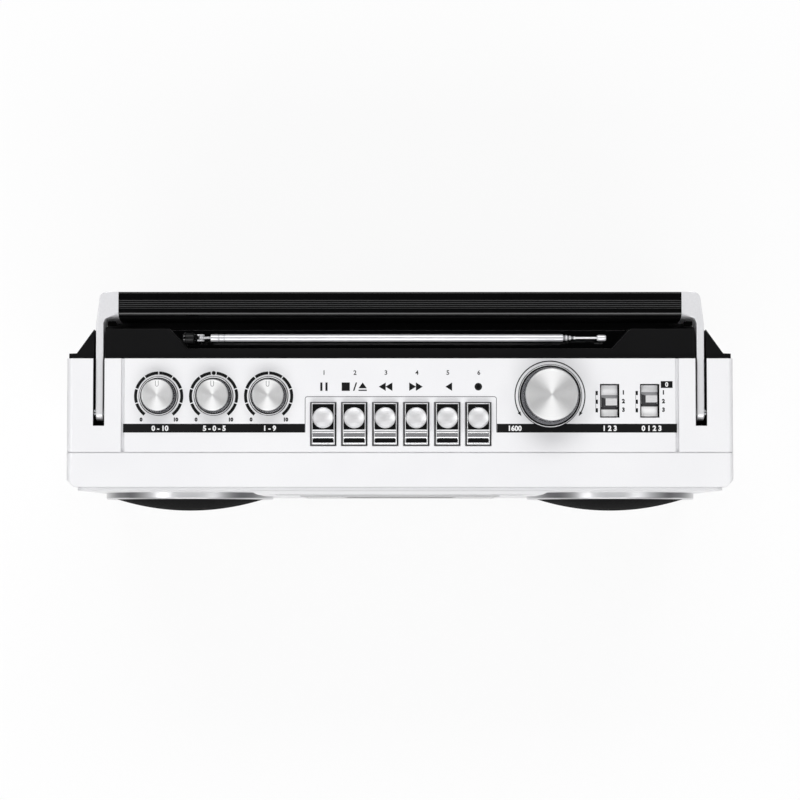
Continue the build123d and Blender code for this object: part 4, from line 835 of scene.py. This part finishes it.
def speaker_mesh(name, x):
    """Domed steel grille with a punched hole at each point of a triangular grid."""
    radius = 51.3
    rise = 8.2
    rim_y = BAFFLE_Y - 3.7
    rows = int(radius / (GRILLE_PITCH * math.sqrt(0.75))) + 1
    columns = int((radius + rows * GRILLE_PITCH / 2) / GRILLE_PITCH) + 1
    bm = bmesh.new()
    bmesh.ops.create_grid(bm, x_segments=2 * columns, y_segments=2 * rows, size=1.0)
    for vert in bm.verts:
        across = vert.co.x * columns * GRILLE_PITCH
        up = vert.co.y * rows * GRILLE_PITCH
        vert.co = Vector((across + up / 2, up * math.sqrt(0.75), 0))
    bmesh.ops.triangulate(bm, faces=bm.faces, quad_method="SHORT_EDGE")
    outside = [vert for vert in bm.verts if vert.co.length > radius]
    bmesh.ops.delete(bm, geom=outside, context="VERTS")
    inside = [vert for vert in bm.verts if not vert.is_boundary and vert.co.length < radius - GRILLE_PITCH]
    made = bmesh.ops.bevel(bm, geom=inside, offset=GRILLE_HOLE, segments=1, affect="VERTICES", profile=0.5,
                           material=-1, clamp_overlap=True)
    hexagon = 2.598 * GRILLE_HOLE ** 2
    holes = [face for face in made["faces"]
             if len(face.verts) == 6 and abs(face.calc_area() - hexagon) < 0.3 * GRILLE_HOLE ** 2]
    bmesh.ops.delete(bm, geom=holes, context="FACES_ONLY")
    sphere = (radius ** 2 + rise ** 2) / (2 * rise)
    for vert in bm.verts:
        reach = math.hypot(vert.co.x, vert.co.y)
        height = math.sqrt(max(sphere ** 2 - reach ** 2, 0)) - (sphere - rise)
        vert.co = Vector((x + vert.co.x, rim_y - height, SPEAKER_Z + vert.co.y))
    bmesh.ops.recalc_face_normals(bm, faces=bm.faces)
    bmesh.ops.solidify(bm, geom=bm.faces[:], thickness=0.5)
    lathe(bm, [(48.8, rim_y - 0.75), (51.0, rim_y), (51.5, rim_y + 0.3), (51.5, BAFFLE_Y), (50.6, BAFFLE_Y),
               (50.6, rim_y + 0.3), (48.8, rim_y), (48.8, rim_y - 0.75)], 96, (x, 0, SPEAKER_Z), axis="y")
    finish(f"{name}_detailed", bm, "cabinet", [grille_steel], [name], 30)


def rear_trough():
    """Polished lining of the long recess that holds the antenna."""
    bm = bmesh.new()
    floor = 228.0
    points = [(-133.4, 33.0), (133.4, 33.0), (144.6, 45.0), (-144.6, 45.0)]
    prism(bm, points, floor, floor + 0.15)
    finish("antenna_recess_lining", bm, "cabinet", [gloss_black_and_shade_paint])


def rear_lid():
    """Battery door with rounded edges and two groups of four pull ribs."""
    bm = bmesh.new()
    half = 97.0
    low = 14.0
    high = 92.0
    box(bm, (-half, BACK_Y - 2.0, low), (half, BACK_Y, high), 0.5, 2)
    for x in (-22.0, 22.0):
        for row in range(4):
            z = high - 5.0 - row * 2.2
            box(bm, (x - 10, BACK_Y - 0.4, z - 0.6), (x + 10, BACK_Y + 0.8, z + 0.6), 0.3, material=1)
    finish("battery_door_detailed", bm, "battery_door", [matt_black, gloss_black_and_shade_paint],
           ["battery_door"])


def bars(bm, rectangles):
    """Printed rectangles from their two corners."""
    for x0, y0, x1, y1 in rectangles:
        printed(bm, [(x0, y0), (x1, y0), (x1, y1), (x0, y1)])


def arrow(bm, tip_x, base_x, y, half):
    """A printed triangle that points along X."""
    printed(bm, [(tip_x, y), (base_x, y - half), (base_x, y + half)])


def knob_scales(bm):
    """Eight thick strokes round each small knob, with plain end numbers below."""
    for name, x in KNOB_XS.items():
        for index in range(8):
            start = -144 + 36 * index
            low, high = start + 1.3, start + 34.7
            if name == "balance" and index in (3, 4):
                low += 6.0 * (index == 4)
                high -= 6.0 * (index == 3)
            printed_arc(bm, (x, KNOB_ROW_Y), 13.6, 15.5, low, high)
        if name == "balance":
            printed_arc(bm, (x, KNOB_ROW_Y + 14.55), 0, 1.25, 0, 360, 20)
        for side, words in ((-1, "0"), (1, "10")):
            digits(bm, words, (x + side * 11.0, -12.3), 2.6, BODY_TOP, INK, bold=0.07)


def transport_signs(bm):
    """The usual tape signs above the keys: pause, stop and eject, the two winds, play and record."""
    y = 8.4
    half = 2.65
    pause = key_x(0) + 0.35
    bars(bm, [(pause - 2.3, y - half, pause - 0.95, y + half),
              (pause + 0.95, y - half, pause + 2.3, y + half)])
    stop = -34.1
    bars(bm, [(stop - 2.6, y - half, stop + 2.5, y + half)])
    slash = -28.3
    printed(bm, [(slash - 1.3, y - half), (slash - 0.4, y - half), (slash + 1.3, y + half),
                 (slash + 0.4, y + half)])
    eject = -23.5
    printed(bm, [(eject - 2.6, y - 1.0), (eject + 2.6, y - 1.0), (eject, y + half)])
    bars(bm, [(eject - 2.6, y - half, eject + 2.6, y - 1.9)])
    back = -9.0
    ahead = 10.0
    for shift in (0, 4.2):
        arrow(bm, back - 4.3 + shift, back + shift, y, half)
        arrow(bm, ahead + 4.3 - shift, ahead - shift, y, half)
    play = 28.6
    arrow(bm, play, play + 4.2, y, half)
    printed_arc(bm, (49.3, y), 0, 2.4, 0, 360, 24)
    for index in range(len(KEY_NAMES)):
        digits(bm, str(index + 1), (key_x(index) + 0.4, 17.3), 2.9, BODY_TOP, INK, bold=0.02)


def switch_signs(bm):
    """Three strokes and a hairline left of each switch, numbers on its right, and a boxed nought."""
    for x in SWITCH_XS.values():
        left = x - 8.2
        for place, y in enumerate((4.4, -1.1, -6.5)):
            bars(bm, [(left - 0.75, y - 1.3, left + 0.75, y + 1.3)])
            digits(bm, str(place + 1), (x + 8.6, y + 0.4), 2.8, BODY_TOP, INK, bold=0.06)
        bars(bm, [(left - 0.75, -5.2, left - 0.5, -2.4), (left - 0.75, 0.2, left - 0.5, 3.1)])
    bars(bm, [(164.2, 7.6, 171.6, 11.9)])


def tuning_signs(bm):
    """Thin arc round the tuning knob, with an arrowhead at each end."""
    centre = (TUNING_X, KNOB_ROW_Y)
    printed_arc(bm, centre, 21.65, 22.35, -119, 119, 72)
    for side in (-1, 1):
        angle = math.radians(90 - side * 121)
        outward = Vector((math.cos(angle), math.sin(angle)))
        onward = Vector((outward.y, -outward.x)) * side
        spot = Vector(centre) + outward * 22.0
        base = spot - onward * 1.3
        corners = [spot + onward * 1.6, base + outward, base - outward]
        printed(bm, [tuple(corner) for corner in corners])


def panel_print():
    """Everything that is screen printed on the control panel."""
    bm = bmesh.new()
    knob_scales(bm)
    transport_signs(bm)
    switch_signs(bm)
    tuning_signs(bm)
    bars(bm, [(-174.2, -20.5, -59.9, -15.0), (61.0, -20.5, 174.2, -15.0)])
    finish("panel_print", bm, "cabinet", [black_ink_and_gap_shade])
    bm = bmesh.new()
    stripe = BODY_TOP + INK
    for words, x in (("0 - 10", -151.0), ("5 - 0 - 5", -116.8), ("1 - 9", -81.7), ("1600", 72.5),
                     ("1 2 3", 132.2), ("0 1 2 3", 158.2)):
        digits(bm, words, (x, -17.8), 3.5, stripe, INK, bold=0.04)
    digits(bm, "0", (167.9, 9.8), 3.0, stripe, INK, bold=0.03)
    finish("panel_white_print", bm, "cabinet", [white_ink])


def bay_line():
    """Hairline round the key bay, with small round corners, that meets the stripes."""
    bm = bmesh.new()
    left, right = -59.9, 60.9
    rear, front, corner, line = 2.3, -20.4, 1.6, 0.42
    bars(bm, [(left, front, left + line, rear - corner), (right - line, front, right, rear - corner),
              (left + corner, rear - line, right - corner, rear)])
    printed_arc(bm, (left + corner, rear - corner), corner - line, corner, -90, 0, 8)
    printed_arc(bm, (right - corner, rear - corner), corner - line, corner, 0, 90, 8)
    finish("key_bay_line", bm, "cabinet", [grey_ink])


def dial_scale():
    """Two rows of plain frequency numbers and tick marks on the dial plate."""
    bm = bmesh.new()
    front = -51.8
    print_y = front - INK
    half = 66.0
    for row, (z, labels) in enumerate(((210.0, ["88", "92", "96", "100", "104", "108"]),
                                       (190.0, ["53", "60", "75", "100", "130", "160"]))):
        for place, words in enumerate(labels):
            x = -half + 2 * half * place / (len(labels) - 1)
            digits(bm, words, (x, z), 4.2, front, INK, axis="y", bold=0.01)
        ticks = 41
        tick_z = 203.0 if row == 0 else 197.0
        for tick in range(ticks):
            x = -half + 2 * half * tick / (ticks - 1)
            tall = 2.6 if tick % 8 == 0 else 1.4
            box(bm, (x - 0.2, print_y, tick_z - tall / 2), (x + 0.2, front, tick_z + tall / 2))
    box(bm, (-half - 4, print_y, 199.7), (half + 4, front, 200.3), material=1)
    finish("dial_scale_print", bm, "cabinet", [white_ink, red_ink])


def door_trim():
    """Bright edging round the cassette door, a line inside it and a line round its window."""
    bm = bmesh.new()
    face = -59.9
    for half_x, low, high, width, depth in ((65.5, 73.5, 169.5, 1.4, 1.3), (61.2, 77.8, 165.2, 0.7, 0.2),
                                            (38.6, 98.6, 129.4, 0.8, 0.2)):
        for left, right in ((-half_x, -half_x + width), (half_x - width, half_x)):
            box(bm, (left, face - 0.12, low), (right, face + depth, high), 0.05, 1)
        for base in (low, high - width):
            box(bm, (-half_x + width, face - 0.12, base), (half_x - width, face + depth, base + width),
                0.05, 1)
    finish("cassette_door_trim", bm, "cassette_door", [satin_chrome])


for knob_name, knob_x in KNOB_XS.items():
    small_knob(knob_name, knob_x)
large_knob()
for key_index in range(len(KEY_NAMES)):
    piano_key(key_index)
key_wells()
for switch_name in SWITCH_XS:
    slide_knob(switch_name)
switch_frames()
handle_bar()
handle_sides()
arm_slots()
antenna_base()
antenna()
speaker_trim()
speaker_mesh("speaker_grille_left", -SPEAKER_X)
speaker_mesh("speaker_grille_right", SPEAKER_X)
rear_trough()
rear_lid()
panel_print()
bay_line()
dial_scale()
door_trim()


def floor():
    """Plain white floor that still takes the object's shadow."""
    bm = bmesh.new()
    bmesh.ops.create_grid(bm, x_segments=1, y_segments=1, size=6.0)
    material, tree, _ = new_material("white_paper_floor", 0)
    tree.nodes.clear()
    paper_white = add(tree, "ShaderNodeBsdfDiffuse", values={"Color": srgb("#F4F4F4")})
    lit = add(tree, "ShaderNodeEmission", values={"Color": srgb("#FFFFFF"), "Strength": 1.0})
    path = add(tree, "ShaderNodeLightPath")
    seen = add(tree, "ShaderNodeMath", {"operation": "MAXIMUM"},
               links={0: path.outputs["Is Camera Ray"], 1: path.outputs["Is Glossy Ray"]})
    seen = add(tree, "ShaderNodeMath", {"operation": "MAXIMUM"},
               links={0: seen.outputs[0], 1: path.outputs["Is Transmission Ray"]})
    share = add(tree, "ShaderNodeMath", {"operation": "MULTIPLY"}, {1: 0.86}, {0: seen.outputs[0]})
    mixed = add(tree, "ShaderNodeMixShader", links={0: share.outputs[0], 1: paper_white.outputs[0],
                                                    2: lit.outputs[0]})
    add(tree, "ShaderNodeOutputMaterial", links={"Surface": mixed.outputs[0]})
    placed("studio_floor", bm, [material])


def black_card():
    """A black card above the lens, which only reflections see: it darkens flat black and flat chrome."""
    bm = bmesh.new()
    made = bmesh.ops.create_grid(bm, x_segments=1, y_segments=1, size=1.0)["verts"]
    bmesh.ops.scale(bm, vec=(0.8, 0.6, 1), verts=made)
    bmesh.ops.translate(bm, vec=(0, 0.02, 1.85), verts=made)
    material, _, shader = new_material("black_card_paper", 0)
    shader.inputs["Base Color"].default_value = srgb("#050505")
    shader.inputs["Roughness"].default_value = 1.0
    card = placed("black_card", bm, [material])
    card.visible_camera = False
    card.visible_diffuse = False
    card.visible_shadow = False
    card.visible_transmission = False


def soft_box(name, place, size, power):
    """A rectangular area light that points at the player."""
    target = Vector((0, 0, 0.2))
    lamp = bpy.data.lights.new(name, "AREA")
    lamp.shape = "RECTANGLE"
    lamp.size, lamp.size_y = size
    lamp.energy = power
    holder = bpy.data.objects.new(name, lamp)
    holder.location = place
    holder.rotation_euler = (target - Vector(place)).to_track_quat("-Z", "Y").to_euler()
    bpy.context.scene.collection.objects.link(holder)


def studio():
    """Large soft boxes at the front and the rear, weaker ones at the sides, and a grey room."""
    soft_box("front_soft_box", (0, -1.3, 1.6), (1.8, 0.8), 22.0)
    soft_box("rear_soft_box", (0, 1.3, 1.6), (1.8, 0.8), 20.2)
    soft_box("left_soft_box", (-1.3, 0, 1.9), (1.0, 0.6), 6.5)
    soft_box("right_soft_box", (1.3, 0, 1.9), (1.0, 0.6), 3.0)
    world = bpy.data.worlds.new("studio_room")
    bpy.context.scene.world = world
    world.use_nodes = True
    background = world.node_tree.nodes["Background"]
    background.inputs["Color"].default_value = srgb("#F5F5F7")
    background.inputs["Strength"].default_value = 0.3
    bpy.context.scene.view_settings.view_transform = "Standard"


def camera():
    """The photograph's view: nearly straight down, from 1.5 m above the top."""
    lens = bpy.data.cameras.new("photo_camera")
    lens.lens = 107.4
    lens.sensor_width = 36.0
    eye = bpy.data.objects.new("photo_camera", lens)
    eye.location = (0, -0.079, 1.74)
    target = Vector((0, 0, 0.24))
    eye.rotation_euler = (target - eye.location).to_track_quat("-Z", "Y").to_euler()
    bpy.context.scene.collection.objects.link(eye)
    bpy.context.scene.camera = eye


floor()
black_card()
studio()
camera()
